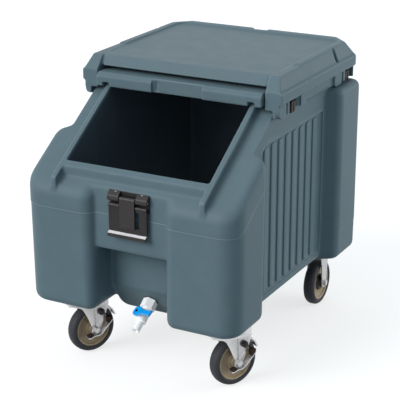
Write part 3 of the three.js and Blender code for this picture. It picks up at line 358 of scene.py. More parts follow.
# %% Rim, rails and well
RIM_RISE = 25
RIM_SINK = 24
RIM_SIDE = 210
RIM_FRONT = -338
RAIL_FRONT = -373
RAIL_REAR = -313
WELL_SIDE = 195
WELL_FRONT = -323
WELL_REAR = 310
WELL_FLOOR = 186
rim = prism("rim", "X", [
    (RIM_FRONT, slope_at(RIM_FRONT) - RIM_SINK), (-95.9, 636), (325, 636), (325, 680, 4), (-95.9, 680),
    (RIM_FRONT, slope_at(RIM_FRONT) + RIM_RISE, 4),
], -RIM_SIDE, RIM_SIDE)
rail = prism("rail", "X", [
    (RAIL_FRONT, slope_at(RAIL_FRONT) - RIM_SINK), (RAIL_REAR, slope_at(RAIL_REAR) - RIM_SINK),
    (RAIL_REAR, slope_at(RAIL_REAR) + RIM_RISE), (RAIL_FRONT, slope_at(RAIL_FRONT) + RIM_RISE, 5),
], WELL_SIDE, RIM_SIDE)
well = prism("well", "X", [
    (-208.6, WELL_FLOOR), (WELL_REAR, WELL_FLOOR, 20), (WELL_REAR, 780), (WELL_FRONT, 780), (WELL_FRONT, 440),
    (-240, 385), (-240, 233.1),
], -WELL_SIDE, WELL_SIDE)
round_ends(well, 0, (-WELL_SIDE, WELL_SIDE), 5)
join(body, rim, rail)
cut(body, well)

# %% [markdown]
# Two round ports in the underside, where the foam was poured in, and the slanted bore of the drain are cut
# with cylinders. The drain's cylinder is turned onto the drain's own axis, square to the slanted face.

# %% Foam ports and drain bore
DRAIN_SEAT = Vector((0, -258.08, 179.12))
DRAIN_AXIS = Vector((0, -0.83205, -0.5547))
ports = [rod("port", 21, (0, y, 120), (0, y, 143.2)) for y in (60, 260)]
bore = rod("bore", 12.6, DRAIN_SEAT + 20 * DRAIN_AXIS, DRAIN_SEAT - 70 * DRAIN_AXIS)
cut(body, *ports, bore)
mirrored(body)

# %% [markdown]
# The body is softened as one piece. Below the mould's parting line its walls lean inwards a little, so that
# the mould can let go of it. On the front half the line is level across the front and climbs along the
# shoulder on the sides of the posts, and on the rest of the body it runs lower down. The vertices below it
# are moved in by the draft, with a small step at the line itself, which catches the light on the real bin.

# %% Soften the body and give it its draft
LINE_HEIGHT = 425
LINE_BEND = -352
FRONT_HALF_END = -190
REAR_LINE_HEIGHT = 250
DRAFT = 0.009
soften(body, 3.2, 5)
points = np.zeros(len(body.data.vertices) * 3)
body.data.vertices.foreach_get("co", points)
points = points.reshape(-1, 3) / MM
x, y, z = points.T
front = y < FRONT_HALF_END
line = np.where(front, LINE_HEIGHT + SLOPE * np.clip(y - LINE_BEND, 0, None), REAR_LINE_HEIGHT)
step = np.clip((line - z) / 1.5, 0, 1) * np.where(front, 0.9, 0.6)
lean = np.clip(line - z, 0, None) * DRAFT
near_a_side = np.clip((np.abs(x) - 108) / 22, 0, 1)
near_an_end = np.clip((np.abs(y) - 190) / 120, 0, 1)
inwards = (step + lean) * near_a_side
points[:, 0] -= np.sign(x) * inwards
points[:, 1] -= np.sign(y) * inwards * near_an_end
body.data.vertices.foreach_set("co", (points * MM).ravel())
body.data.update()
thin_out(body, 150000)
print("body from", points.min(0).round(1), "to", points.max(0).round(1))

# %% [markdown]
# Between the posts each side wall has a shallow recess, which follows the shoulder, and in it stand nine
# upright ribs that stiffen the thin wall. The cutter of a side is the recess with the ribs already taken
# out of it, so that the dense body is cut only once per side. Its own edges are rounded, and so are the
# edges of what it leaves.

# %% Ribbed side panels
RIBS = 9
FIRST_RIB = -172.5
RIB_PITCH = 41
RIB_HALF_WIDTH = 13
RIB_FACE = 250.7
PANEL_FLOOR = 246.9
PANEL_FRONT = -193
PANEL_REAR = 199
PANEL_TOP = 586


def panel_cutter(side):
    """Everything that is cut from one side wall."""
    floor_at = side * PANEL_FLOOR
    panel = prism("panel", "X", [
        (PANEL_FRONT, 199, 5), (PANEL_REAR, 199, 5), (PANEL_REAR, PANEL_TOP, 5), (-133, PANEL_TOP, 34),
        (PANEL_FRONT, slope_at(PANEL_FRONT) - 40, 8),
    ], *sorted((floor_at, side * 262)))
    round_ends(panel, 0, (floor_at, floor_at), 1.5, segments=2)
    for i in range(RIBS):
        y = FIRST_RIB + RIB_PITCH * i
        front_edge = y - RIB_HALF_WIDTH
        top = min(PANEL_TOP - 8, slope_at(front_edge) - 48)
        rib = block("rib", sorted((side * 240, side * RIB_FACE)),
                    (front_edge, y + RIB_HALF_WIDTH), (205, top))
        round_edges(rib, 8, lambda a, b: abs(a.x - b.x) > 1)
        round_edges(rib, 3.4, lambda a, b: min(abs(a.x), abs(b.x)) > RIB_FACE - 0.5)
        cut(panel, rib)
    return panel


cut(body, panel_cutter(1), panel_cutter(-1))
solo(body)
bpy.ops.object.shade_smooth_by_angle(angle=math.radians(35))
print("with ribs:", len(body.data.polygons))

# %% [markdown]
# ## Materials
# Each surface is a Principled shader fed by noise in the piece's own coordinates. A wide noise shifts the
# colour and the gloss, as pigment and handling do. A fine one gives the bump its grain, with a depth given
# in real millimetres. Lighter edges come from Pointiness, which says how sharply the surface bends outwards:
# they are partly wear and partly a painted highlight, where rounded edges would catch the light.
# White plastic lets some light through, and a faint glow of its own, painted light that brightens its
# shaded sides, stands in for that.

# %% Helpers for shader nodes
def feed(tree, socket, value):
    """Links an output to a socket, or sets the socket to a number or a colour."""
    if isinstance(value, bpy.types.NodeSocket):
        tree.links.new(value, socket)
    else:
        socket.default_value = value


def noise(tree, place, spot, detail):
    """A noise whose spots have this size, in mm."""
    node = tree.nodes.new("ShaderNodeTexNoise")
    node.inputs["Scale"].default_value = 1 / (spot * MM)
    node.inputs["Detail"].default_value = detail
    tree.links.new(place, node.inputs["Vector"])
    return node.outputs["Fac"]


def spread_out(tree, value, start, end, low, high):
    """Takes a value that runs from start to end to one that runs from low to high."""
    node = tree.nodes.new("ShaderNodeMapRange")
    for name, number in (("From Min", start), ("From Max", end), ("To Min", low), ("To Max", high)):
        node.inputs[name].default_value = number
    tree.links.new(value, node.inputs["Value"])
    return node.outputs["Result"]


def blend(tree, share, first, second):
    """Mixes two colours by a share."""
    node = tree.nodes.new("ShaderNodeMix")
    node.data_type = "RGBA"
    for name, value in (("Factor", share), ("A", first), ("B", second)):
        feed(tree, node.inputs[name], value)
    return node.outputs["Result"]


def calculate(tree, how, *values):
    """A Math node, fed by numbers or by other nodes."""
    node = tree.nodes.new("ShaderNodeMath")
    node.operation = how
    for socket, value in zip(node.inputs, values):
        feed(tree, socket, value)
    return node.outputs["Value"]


# %% A shader for plastic, rubber and metal
NOISE_RANGE = (0.3, 0.7)
EDGE_RANGE = (0.51, 0.6)
GLOSS_SPREAD = 0.05


def linear(code):
    """The colour of a code such as 5F7178, as the light values that shaders use."""
    values = [int(code[i:i + 2], 16) / 255 for i in (0, 2, 4)]
    return [v / 12.92 if v <= 0.04045 else ((v + 0.055) / 1.055) ** 2.4 for v in values] + [1.0]


def surface(name, colour, rough, spread=0.06, mottle=60, grain=1.2, depth=0.03, metal=0.0, rubbed_and_lit_edge=None,
            rubbed_and_lit_share=0.3, specular=0.5):
    """A material. Mottle and grain are the sizes of their spots and depth is the grain's height, in mm."""
    material = bpy.data.materials.new(name)
    material.use_nodes = True
    tree = material.node_tree
    shader = tree.nodes["Principled BSDF"]
    shader.inputs["Metallic"].default_value = metal
    shader.inputs["Specular IOR Level"].default_value = specular
    place = tree.nodes.new("ShaderNodeTexCoord").outputs["Object"]
    wide = noise(tree, place, mottle, 5)
    shade = tree.nodes.new("ShaderNodeVectorMath")
    shade.operation = "SCALE"
    shade.inputs[0].default_value = linear(colour)[:3]
    feed(tree, shade.inputs["Scale"], spread_out(tree, wide, *NOISE_RANGE, 1 - spread, 1 + spread))
    top = shade.outputs["Vector"]
    # Convex edges are blended towards a lighter colour: partly wear, and partly a painted highlight along the
    # rounded edges.
    if rubbed_and_lit_edge:
        bend = tree.nodes.new("ShaderNodeNewGeometry").outputs["Pointiness"]
        top = blend(tree, spread_out(tree, bend, *EDGE_RANGE, 0, rubbed_and_lit_share), top, linear(rubbed_and_lit_edge))
    feed(tree, shader.inputs["Base Color"], top)
    gloss = spread_out(tree, wide, *NOISE_RANGE, rough - GLOSS_SPREAD, rough + GLOSS_SPREAD)
    feed(tree, shader.inputs["Roughness"], gloss)
    bump = tree.nodes.new("ShaderNodeBump")
    bump.inputs["Strength"].default_value = 1
    bump.inputs["Distance"].default_value = depth * MM
    feed(tree, bump.inputs["Height"], noise(tree, place, grain, 3))
    feed(tree, shader.inputs["Normal"], bump.outputs["Normal"])
    return material


LOOKS = {
    # The slate's lighter edges are mostly a painted highlight along its rounded edges.
    "slate": surface("slate", "5E7077", 0.42, 0.035, 45, 1.6, 0.035, rubbed_and_lit_edge="8FA0A8", rubbed_and_lit_share=0.6, specular=0.08),
    # A darker slate for painted shade inside the deep well.
    "painted_well_shade": surface("painted_well_shade", "434F58", 0.55, 0.08, 30, 1.6, 0.035, specular=0.08),
    # A near-black slate for painted shade deep in the bolt pockets.
    "painted_pocket_shade": surface("painted_pocket_shade", "1B2429", 0.8, 0.15, 8, 0.8, 0.05, specular=0.05),
    "foam": surface("foam", "D9C27A", 0.9, 0.08, 20, 0.9, 0.3),
    "nylon_black": surface("nylon_black", "171517", 0.36, 0.1, 12, 0.5, 0.012, rubbed_and_lit_edge="4A4442", rubbed_and_lit_share=0.4,
                           specular=0.25),
    # A pale nylon for the painted reflection on the upper side of the hook's lip.
    "painted_lip_reflection": surface("painted_lip_reflection", "D8D4D6", 0.25, 0.12, 6, 0.4, 0.01),
    "nylon_brown": surface("nylon_brown", "261B18", 0.5, 0.12, 8, 0.5, 0.015, rubbed_and_lit_edge="3E302A", rubbed_and_lit_share=0.3,
                           specular=0.15),
    "white_plastic": surface("white_plastic", "FCFCFC", 0.38, 0.02, 15, 0.8, 0.012, rubbed_and_lit_edge="FFFFFF", rubbed_and_lit_share=0.3),
    "blue_plastic": surface("blue_plastic", "06A2F5", 0.35, 0.05, 12, 0.7, 0.012, rubbed_and_lit_edge="5FC0F5", rubbed_and_lit_share=0.4),
    "seal_rubber": surface("seal_rubber", "2B2C2E", 0.7, 0.1, 8, 0.4, 0.02),
    "zinc": surface("zinc", "BDBBBB", 0.24, 0.05, 14, 0.6, 0.003, metal=0.7, rubbed_and_lit_edge="FFFFFF", rubbed_and_lit_share=0.5),
    "tyre": surface("tyre", "363639", 0.62, 0.12, 14, 0.5, 0.03, rubbed_and_lit_edge="57575A", rubbed_and_lit_share=0.4, specular=0.25),
    "hub_plastic": surface("hub_plastic", "A08A6C", 0.45, 0.1, 14, 0.8, 0.02, rubbed_and_lit_edge="D0BE9E", rubbed_and_lit_share=0.7),
}
# The white plastic glows faintly: painted light that lifts its shaded sides.
white_shader = LOOKS["white_plastic"].node_tree.nodes["Principled BSDF"]
white_shader.inputs["Emission Color"].default_value = (1.0, 0.94, 0.9, 1)
white_shader.inputs["Emission Strength"].default_value = 0.1
print(len(LOOKS), "materials")

# %% [markdown]
# The mould's parting line on the front half gets a thin pale line: a painted highlight for the light that
# its small step catches. It runs level across the front and climbs beside the shoulder, so its height can be
# worked out from a point's own coordinates, and the shader lightens the points that lie close to it.

# %% Parting line
SEAM_HIGHLIGHT_HALF_WIDTH = 0.9
SEAM_HIGHLIGHT_SHARE = 0.45
tree = LOOKS["slate"].node_tree
split = tree.nodes.new("ShaderNodeSeparateXYZ")
feed(tree, split.inputs["Vector"], tree.nodes["Texture Coordinate"].outputs["Object"])
behind_bend = calculate(tree, "SUBTRACT", split.outputs["Y"], LINE_BEND * MM)
climb = calculate(tree, "MULTIPLY", calculate(tree, "MAXIMUM", behind_bend, 0), SLOPE)
above_level = calculate(tree, "SUBTRACT", split.outputs["Z"], LINE_HEIGHT * MM)
above_line = calculate(tree, "SUBTRACT", above_level, climb)
close = calculate(tree, "COMPARE", above_line, 0, SEAM_HIGHLIGHT_HALF_WIDTH * MM)
in_front = calculate(tree, "LESS_THAN", split.outputs["Y"], FRONT_HALF_END * MM)
seam = calculate(tree, "MULTIPLY", close, in_front)
base_colour = tree.nodes["Principled BSDF"].inputs["Base Color"]
# The pale colour close to the line is a painted highlight.
share = calculate(tree, "MULTIPLY", seam, SEAM_HIGHLIGHT_SHARE)
feed(tree, base_colour, blend(tree, share, base_colour.links[0].from_socket, linear("93A5AD")))
print("the seam is", 2 * SEAM_HIGHLIGHT_HALF_WIDTH, "mm wide")

# %% [markdown]
# Every finished piece is set up the same way: it gets its material, from its slot if it has none yet, it
# rides on a body of the CAD model, and it stands in for the CAD parts that it replaces, which are hidden.

# %% Set up a piece
def dress(obj, look):
    """Gives a piece one material."""
    obj.data.materials.clear()
    obj.data.materials.append(LOOKS[look])
    return obj


def paint_faces(obj, look, test):
    """Gives a second material to the faces whose middle and direction pass the test."""
    obj.data.materials.append(LOOKS[look])
    for face in obj.data.polygons:
        if test(face.center / MM, face.normal):
            face.material_index = len(obj.data.materials) - 1


def enlist(obj, body_name, slot, *nodes):
    """Puts a piece on its body, hides the CAD parts that it replaces, and gives it the material of its slot
    if it has none.
    """
    if not any(obj.data.materials):
        dress(obj, slot)
    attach(obj, body_name)
    if nodes:
        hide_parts(*nodes)


enlist(body, "bin", "slate", "body_shell")


def in_the_well(p, n):
    """Whether a face lines the well and gets the painted shade, other than the lit ledge at its front."""
    front_wall = max(WELL_FRONT - 1, -242 - 1.51 * max(0, p.z - 385))
    across = abs(p.x) < WELL_SIDE + 1
    along = front_wall < p.y < WELL_REAR + 1
    upwards = WELL_FLOOR - 2 < p.z < min(668, slope_at(p.y) + 14)
    ledge = n.z > 0.3 and p.z > 375
    return across and along and upwards and not ledge


# The lining of the well is painted darker: painted shade for the dim inside of the well.
paint_faces(body, "painted_well_shade", in_the_well)
print("the body stands in for body_shell")

# %% [markdown]
# ## The top lid
# The fixed lid is a hollow moulding too. Its outline across the bin, its outline along the bin and its plan
# are three prisms, and what they have in common is the lid: slanted sides, slanted front pillars and round
# rear corners.

# %% Outline of the top lid
LID_TOP = 745
SKIRT_TOP = 704.5
SKIRT_FOOT = 676.7
lid = prism("lid", "Y", [
    (-262, 643, 3), (262, 643, 3), (262, SKIRT_FOOT), (278, SKIRT_FOOT, 3), (278, SKIRT_TOP, 3),
    (272, 709, 3), (258, LID_TOP, 6), (-258, LID_TOP, 6), (-272, 709, 3), (-278, SKIRT_TOP, 3),
    (-278, SKIRT_FOOT, 3), (-262, SKIRT_FOOT),
], -113, 376)
common(lid, prism("lid_side", "X", [
    (-112, 630), (362, 630), (362, SKIRT_FOOT), (HALF_DEPTH, SKIRT_FOOT, 3), (HALF_DEPTH, SKIRT_TOP, 3),
    (370, 709, 3), (361, LID_TOP, 6), (-84, LID_TOP, 6), (-112, 707, 6),
], -290, 290))
common(lid, prism("lid_plan", "Z", [(-279, -114), (279, -114), (279, 376, 36), (-279, 376, 36)], 600, 760))
print("lid outline faces:", len(lid.data.polygons))

# %% [markdown]
# The flange that hangs down over the body carries blocks, ribs and pads, with pockets for the bolts between
# them. They follow each other from front to rear, so one list gives each its two ends, its foot and how far
# it stands out.

# %% Blocks and ribs on the lid's flange
flange_parts = [
    (-112, -69, 638.7, 271, 22), (-58, -45, 641, 269, 5), (23, 55, 643, 268, 5), (55, 205, 650, 266, 8),
    (232, 279, 641, 269, 14), (290, 303, 643, 268, 5), (345, 361, 643, 268, 7),
]
for number, (front_end, rear_end, foot, reach, radius) in enumerate(flange_parts):
    part = prism(f"flange_{number}", "X", [
        (front_end, foot, radius), (rear_end, foot, 5), (rear_end, 690), (front_end, 690),
    ], 258, reach, segments=5)
    join(lid, part)
print("lid with its flange:", len(lid.data.polygons))

# %% [markdown]
# Between its pillars the lid is cut back to a slanted panel, with a dark groove beside each pillar. The top
# has a shallow tray with sloping walls. In front of a small step its rim is lower, and the rear edge has a
# notch.

# %% Front panel, tray and notches
front_cut = prism("front_cut", "X", [
    (-130, 600), (-94, 600), (-94, 714, 4), (-78, 750), (-78, 800), (-130, 800),
], -228, 228)
pillar_gap = prism("pillar_gap", "X", [
    (-130, 600), (-86, 600), (-86, 714), (-70, 750), (-70, 800), (-130, 800),
], 227, 232.5)
tray = prism("tray", "Y", [(-237, 739.5), (237, 739.5), (245, 760), (-245, 760)], -68, 348)
common(tray, prism("tray_side", "X", [(-58, 739), (336, 739), (344, 761), (-66, 761)], -250, 250))
round_edges(tray, 22, lambda a, b: abs(a.z - b.z) > 15, segments=6)
low_rim = prism("low_rim", "X", [(-120, 741.2), (38, 741.2), (44, 747), (44, 760), (-120, 760)], -300, 300)
chamfer_step = prism("chamfer_step", "X", [(231, 707), (243, 707), (243, 760), (231, 760)], 255, 290)
round_edges(chamfer_step, 1, same_x, segments=1)
skirt_notch = block("skirt_notch", (275.5, 290), (40, 48), (699, 712))
rear_notch = block("rear_notch", (-26, 18), (346, 380), (734, 760))
slice_off(lid, (213, 361, LID_TOP), Vector((0.7071, 0.7071, 0.942)).normalized())
cut(lid, front_cut, pillar_gap, tray, low_rim, chamfer_step, skirt_notch)
mirrored(lid)
cut(lid, rear_notch)
print("lid with tray:", len(lid.data.polygons))

# %% [markdown]
# From below the lid is open: it hugs the body's core, and above the well it keeps a slot into which the
# front lid slides. These two spaces are cut last, and then the lid is softened like the body.

# %% Underside of the lid
BOLT_POCKETS = ((-42, 16), (304, 354))
over_core = block("over_core", (-254, 254), (-140, CORE_REAR + 1), (620, CORE_TOP + 1))
slot_space = block("slot_space", (-234, 234), (-140, 334), (655, 714))
pockets = [block("pocket", sorted((side * 256.5, side * 290)), ends, (630, 674))
           for side in (-1, 1) for ends in BOLT_POCKETS]
cut(lid, over_core, slot_space, *pockets)
soften(lid, 2.6, 2)
thin_out(lid, 190000)
enlist(lid, "bin", "slate", "top_lid")


def in_a_pocket(p, n):
    """Whether a face lies deep in one of the bolt pockets, where shade is painted, other than on its rear
    wall.
    """
    beside_bolt = any(front_end < p.y < rear_end for front_end, rear_end in BOLT_POCKETS)
    return beside_bolt and abs(p.x) < 261 and p.z < 676 and n.y > -0.5


# The deep faces of the bolt pockets are painted nearly black: painted shade under the lid's skirt.
paint_faces(lid, "painted_pocket_shade", in_a_pocket)

# %% [markdown]
# ## The front lid
# The small lid slides under the fixed one. Its front has a finger recess between two thicker parts, and
# grooves in its underside run on the rails of the rim.

# %% Front lid
SLIDER_SIDE = 230
RUNNER_MIDDLE = 202.5
RUNNER_HALF_WIDTH = 9.5
slider = prism("slider", "X", [
    (-125, 669, 4), (-125, 694, 4), (-116, 704, 4), (180, 704, 4), (180, 669, 4),
], -SLIDER_SIDE, SLIDER_SIDE)
round_ends(slider, 0, (-SLIDER_SIDE, SLIDER_SIDE), 3, segments=2)
finger_recess = prism("finger_recess", "Z", [
    (-71, -140), (71, -140), (71, -116, 6), (-71, -116, 6),
], 660, 712)
hollow = block("hollow", (-186, 186), (-101, 190), (660, 690))
grooves = []
for middle in (-RUNNER_MIDDLE, RUNNER_MIDDLE):
    across = (middle - RUNNER_HALF_WIDTH, middle + RUNNER_HALF_WIDTH)
    grooves.append(block("groove", across, (-140, 190), (660, 680.3)))
tab_slot = block("tab_slot", (-64, -56), (-140, -112), (672, 698))
cut(slider, finger_recess, hollow, tab_slot, *grooves)
soften(slider, 2.3, 3)
thin_out(slider, 120000)
enlist(slider, "front_lid", "slate", "front_lid")

# %% [markdown]
# ## Wheels
# A wheel is turned: the Spin operator carries its outline once round the axle. The tyre's outline is a
# round tread between two side walls. The hub is a dish with a raised rim. The rear hubs have a dark thread
# guard in the middle, which only needs a second material on the faces near the axle.

# %% Turned pieces
def turned(name, outline, steps=72):
    """An outline of (radius, place along X) spun round the X axis."""
    bpy.ops.object.select_all(action="DESELECT")
    bpy.ops.mesh.primitive_circle_add(vertices=len(outline), fill_type="NOTHING")
    obj = bpy.context.object
    for vertex, (radius, along) in zip(obj.data.vertices, outline):
        vertex.co = Vector((along, 0, radius)) * MM
    bpy.ops.object.mode_set(mode="EDIT")
    bpy.ops.mesh.select_all(action="SELECT")
    bpy.ops.mesh.spin(steps=steps, angle=math.tau, center=(0, 0, 0), axis=(1, 0, 0))
    bpy.ops.mesh.select_all(action="SELECT")
    bpy.ops.mesh.remove_doubles(threshold=0.001 * MM)
    bpy.ops.mesh.normals_make_consistent(inside=False)
    bpy.ops.object.mode_set(mode="OBJECT")
    obj.name = name
    return obj


def both_ways(half_outline):
    """An outline from its right half, listed from the middle outwards: the left half is its mirror image."""
    return half_outline + [(radius, -along) for radius, along in reversed(half_outline)]


def smooth_by_angle(obj, degrees=30):
    """Shades a piece smooth, apart from edges sharper than this."""
    solo(obj)
    bpy.ops.object.shade_smooth_by_angle(angle=math.radians(degrees))


def placed_copy(obj, name, place):
    """A copy with its own mesh, put in its place by a matrix that moves the mesh."""
    copy = obj.copy()
    copy.data = obj.data.copy()
    copy.name = name
    bpy.context.scene.collection.objects.link(copy)
    copy.data.transform(place)
    if place.determinant() < 0:
        copy.data.flip_normals()
    return copy


# %% Tyre and hub
WHEEL_RADIUS = 63.5
GUARD_RADIUS = 22.4
tyre = turned("tyre", both_ways([
    (WHEEL_RADIUS, 1.5), (63.4, 4.5), (62.7, 8), (61.2, 11.2), (58.8, 13.8), (55.5, 15.4), (52.3, 16),
    (50.2, 15.7), (48.9, 14.6), (48.1, 13.4),
]))
smooth_by_angle(tyre, 50)
hub = turned("hub", both_ways([
    (48, 13), (46.2, 13.6), (44.6, 13.2), (43.2, 11.6), (42, 8.2), (37, 6.2), (30, 5.4), (25, 5.6),
    (22.6, 7.5), (21.8, 11), (20.4, 12.4), (15.2, 13), (14.2, 14.5), (13.6, 17.4), (12.4, 18), (5, 18),
]))
smooth_by_angle(hub, 40)
dress(hub, "hub_plastic")
print("tyre and hub faces:", len(tyre.data.polygons), len(hub.data.polygons))

# %% [markdown]
# ## Casters
# The front forks are pressed from sheet. Each has two cheeks under a round crown, and a cheek is narrow at
# the axle and wide at the top, with a groove pressed into it. A black buffer sits on the outer cheek, and
# below it the brake rocker turns on the axle: a bright curved pedal with a dark pad at each end.

# %% Swivel fork
TRAIL = 38
AXLE_BORE = 4.9
fork = prism("fork", "X", [
    (-38, 151), (-38, 144, 2), (-24, 139, 14), (0, 131, 26), (15, 103, 80), (33, 60, 30), (34.5, 51.5, 6),
    (44, 50.5, 6), (52, 60, 10), (73, 112, 6), (78, 128, 6), (78, 151),
], -23, 23, segments=6)
gap_between = block("gap_between", (-20, 20), (-50, 80), (40, 147))
cut(fork, gap_between)
crown = rod("crown", 38, (0, 0, 146), (0, 0, 151), sides=64)
round_edges(crown, 2, lambda a, b: max(a.z, b.z) < 146.1, segments=3)
join(fork, crown)
for side in (-1, 1):
    cut(fork, prism("groove", "X", [(32, 127, 2), (37, 127, 2), (39, 70, 1), (36.5, 70, 1)],
                    *sorted((side * 21.4, side * 24)), segments=3))
shoe_pin = pin("shoe_pin", 2.5, (70.23, 126.76), -20.2, 20.2)
axle_hole = pin("axle_hole", AXLE_BORE, (TRAIL, WHEEL_RADIUS), -30, 30)
king_hole = rod("king_hole", 5.2, (0, 0, 140), (0, 0, 160), sides=24)
join(fork, shoe_pin)
cut(fork, axle_hole, king_hole)
buffer = turned("buffer", [
    (0.6, 22.4), (8, 22.4), (8.6, 24), (8.6, 29), (7, 31.5), (4, 32.4), (0.6, 32.4),
], steps=32)
buffer.data.transform(Matrix.Translation(Vector((0, 55, 110)) * MM))
dress(fork, "zinc")
join(fork, dress(buffer, "nylon_black"))
smooth_by_angle(fork, 30)
print("fork faces:", len(fork.data.polygons))

# %% Brake rocker
ROCKER_INNER = 23.3
PEDAL_UNDERSIDE = [(-30, -14.5, 3), (-24, -16.5, 4), (-8, -12.5, 6), (4, -13, 6), (14, -8, 8), (44, 22, 2)]
rocker = prism("rocker", "X", PEDAL_UNDERSIDE + [
    (44, 25, 1), (13, -4, 6), (8, 5, 4), (-4, 11, 5), (-12, 6, 6), (-13, -6, 5), (-22, -11, 4),
    (-29, -11.5, 1),
], ROCKER_INNER, 26.3, segments=4)
arc = prism("arc", "X", PEDAL_UNDERSIDE + [
    (44, 24.6, 1), (13, -5, 6), (4, -10.6, 5), (-8, -10, 5), (-23, -13.6, 3), (-29, -11.6, 1),
], ROCKER_INNER, 37.3, segments=4)
upper_pad = prism("upper_pad", "X", [
    (30.5, 13.5, 1.5), (43.7, 26.5, 1.5), (43.7, 32, 2), (31, 32, 3),
], 23.6, 37)
lower_pad = prism("lower_pad", "X", [
    (-27.5, -12.8, 1), (-13, -9.8, 1), (-12, -4.5, 2), (-25.5, -7.5, 2),
], 23.6, 37)
dress(rocker, "zinc")
join(rocker, arc, dress(upper_pad, "nylon_brown"), dress(lower_pad, "nylon_brown"))
rocker_hole = pin("rocker_hole", AXLE_BORE, (0, 0), 20, 40)
nut_space = pin("nut_space", 9.2, (0, 0), 26.4, 40)
cut(rocker, rocker_hole, nut_space)
smooth_by_angle(rocker, 30)
print("rocker faces:", len(rocker.data.polygons))

# %% Put the casters in place
FRONT_TURN = math.radians(-27)
CASTER_SIDE = 204
FRONT_CASTER = -280
REAR_CASTER = 305
SIDES = {"left": -1, "right": 1}


def moved(x, y, z):
    """The matrix of a move, given in mm."""
    return Matrix.Translation(Vector((x, y, z)) * MM)


def add_wheel(wheel, axle):
    """A tyre and a hub on this axle."""
    enlist(placed_copy(tyre, f"{wheel}_tyre_turned", axle), f"{wheel}_wheel", "tyre", f"{wheel}_tyre")
    enlist(placed_copy(hub, f"{wheel}_hub_turned", axle), f"{wheel}_wheel", "hub_plastic", f"{wheel}_hub")


for side_name, side in SIDES.items():
    swivel = moved(side * CASTER_SIDE, FRONT_CASTER, 0) @ Matrix.Rotation(FRONT_TURN, 4, "Z")
    front_axle = swivel @ moved(0, TRAIL, WHEEL_RADIUS)
    front = f"front_{side_name}"
    add_wheel(front, front_axle)
    enlist(placed_copy(fork, f"{front}_fork_pressed", swivel), f"{front}_swivel", "zinc", f"{front}_fork")
    enlist(placed_copy(rocker, f"{front}_rocker_pressed", front_axle), f"{front}_brake_rocker", "zinc",
           f"{front}_brake_rocker")
paint_faces(hub, "nylon_black", lambda p, n: p.yz.length < GUARD_RADIUS)
for side_name, side in SIDES.items():
    add_wheel(f"rear_{side_name}", moved(side * CASTER_SIDE, REAR_CASTER, WHEEL_RADIUS))
for pattern in (tyre, hub, fork, rocker):
    bpy.data.objects.remove(pattern)
print("four casters stand on the floor")

# %% [markdown]
# ## The latch
# The draw latch is black nylon. Its base has a knuckle at each side of the lever, with a sloping top, and a
# steel pin goes through all three. The lever's strap hangs through the window of the hook. The hook ends in
# a curled lip, whose upper side gets a pale painted reflection. Each piece is made at the place of its CAD
# part and rides on the same body.

# %% Latch base and lever
SEAT = -351.2
PIN_PLACE = (-360.5, 474)
BAR_PLACE = (-361.5, 457)
PIN_BORE = 2.6
BAR_BORE = 2.9
LATCH_SIDE = 54
LEVER_SIDE = 20.5
RIGHT_THROUGH = (-60, 60)
base = prism("base", "X", [
    (SEAT, 446, 1), (SEAT, 491, 1), (-354, 491, 1), (-354, 446, 1),
], -LATCH_SIDE, LATCH_SIDE)
for ends in ((-LATCH_SIDE, -23.5), (23.5, LATCH_SIDE)):
    join(base, prism("knuckle", "X", [
        (SEAT, 491, 1), (-355, 490.6, 1), (-366, 481, 5), (-367.4, 471, 5), (-362, 466.6, 4), (-353, 467, 1),
        (SEAT, 467),
    ], *ends, segments=4))
cut(base, pin("pin_hole", PIN_BORE, PIN_PLACE, *RIGHT_THROUGH))
smooth_by_angle(base, 30)
enlist(base, "bin", "nylon_black", "latch_base")
lever = prism("lever", "X", [
    (-364, 404, 1), (-364, PIN_PLACE[1]), (-367, PIN_PLACE[1]), (-367, 404, 2.5),
], -LEVER_SIDE, LEVER_SIDE)
curl = pin("curl", 6.2, PIN_PLACE, -LEVER_SIDE, LEVER_SIDE, sides=40)
bar_seat = pin("bar_seat", 4.6, BAR_PLACE, -LEVER_SIDE, LEVER_SIDE)
join(lever, curl, bar_seat)
pin_hole = pin("lever_hole", PIN_BORE, PIN_PLACE, *RIGHT_THROUGH)
bar_hole = pin("lever_bar_hole", BAR_BORE, BAR_PLACE, *RIGHT_THROUGH)
cut(lever, pin_hole, bar_hole)
smooth_by_angle(lever, 30)
enlist(lever, "latch_lever", "nylon_black", "latch_lever")

# %% Latch hook
HOOK_SIDE = 52
STRAP_GAP = 22.5
hook = prism("hook", "X", [
    (-359.8, BAR_PLACE[1]), (-363.4, BAR_PLACE[1]), (-363.4, 391, 3), (-370, 388.4, 1.5), (-371, 378.6, 1.5),
    (-368.6, 378.6, 1), (-367.6, 384.6, 2), (-359.8, 387.5, 4),
], -HOOK_SIDE, HOOK_SIDE, segments=5)
window = prism("window", "Y", [
    (-STRAP_GAP, 406.5, 2), (33, 406.5, 2), (33, 448, 2), (STRAP_GAP, 448), (STRAP_GAP, 466),
    (-STRAP_GAP, 466),
], -380, -350)
cut(hook, window)
for ends in ((-HOOK_SIDE, -STRAP_GAP), (STRAP_GAP, HOOK_SIDE)):
    join(hook, pin("hook_barrel", 4.7, BAR_PLACE, *ends, sides=32))
cut(hook, pin("bar_hole", BAR_BORE, BAR_PLACE, *RIGHT_THROUGH))
smooth_by_angle(hook, 30)
enlist(hook, "latch_hook", "nylon_black", "latch_hook")
# The lip's upward faces are painted pale: a painted reflection of the light above.
paint_faces(hook, "painted_lip_reflection", lambda p, n: 384 < p.z < 392 and p.y < -362.8 and n.z > 0.4)
print("latch faces:", len(base.data.polygons), len(lever.data.polygons), len(hook.data.polygons))

# %% [markdown]
# ## Bolts of the lid and handle of the faucet
# Four big moulded knobs hold the lid, each with a slot across it. The faucet's blue handle has a round eye
# at its hub and a flared tip. It is drawn flat, as seen along the valve's stem, and one matrix then lays it
# on the faucet.

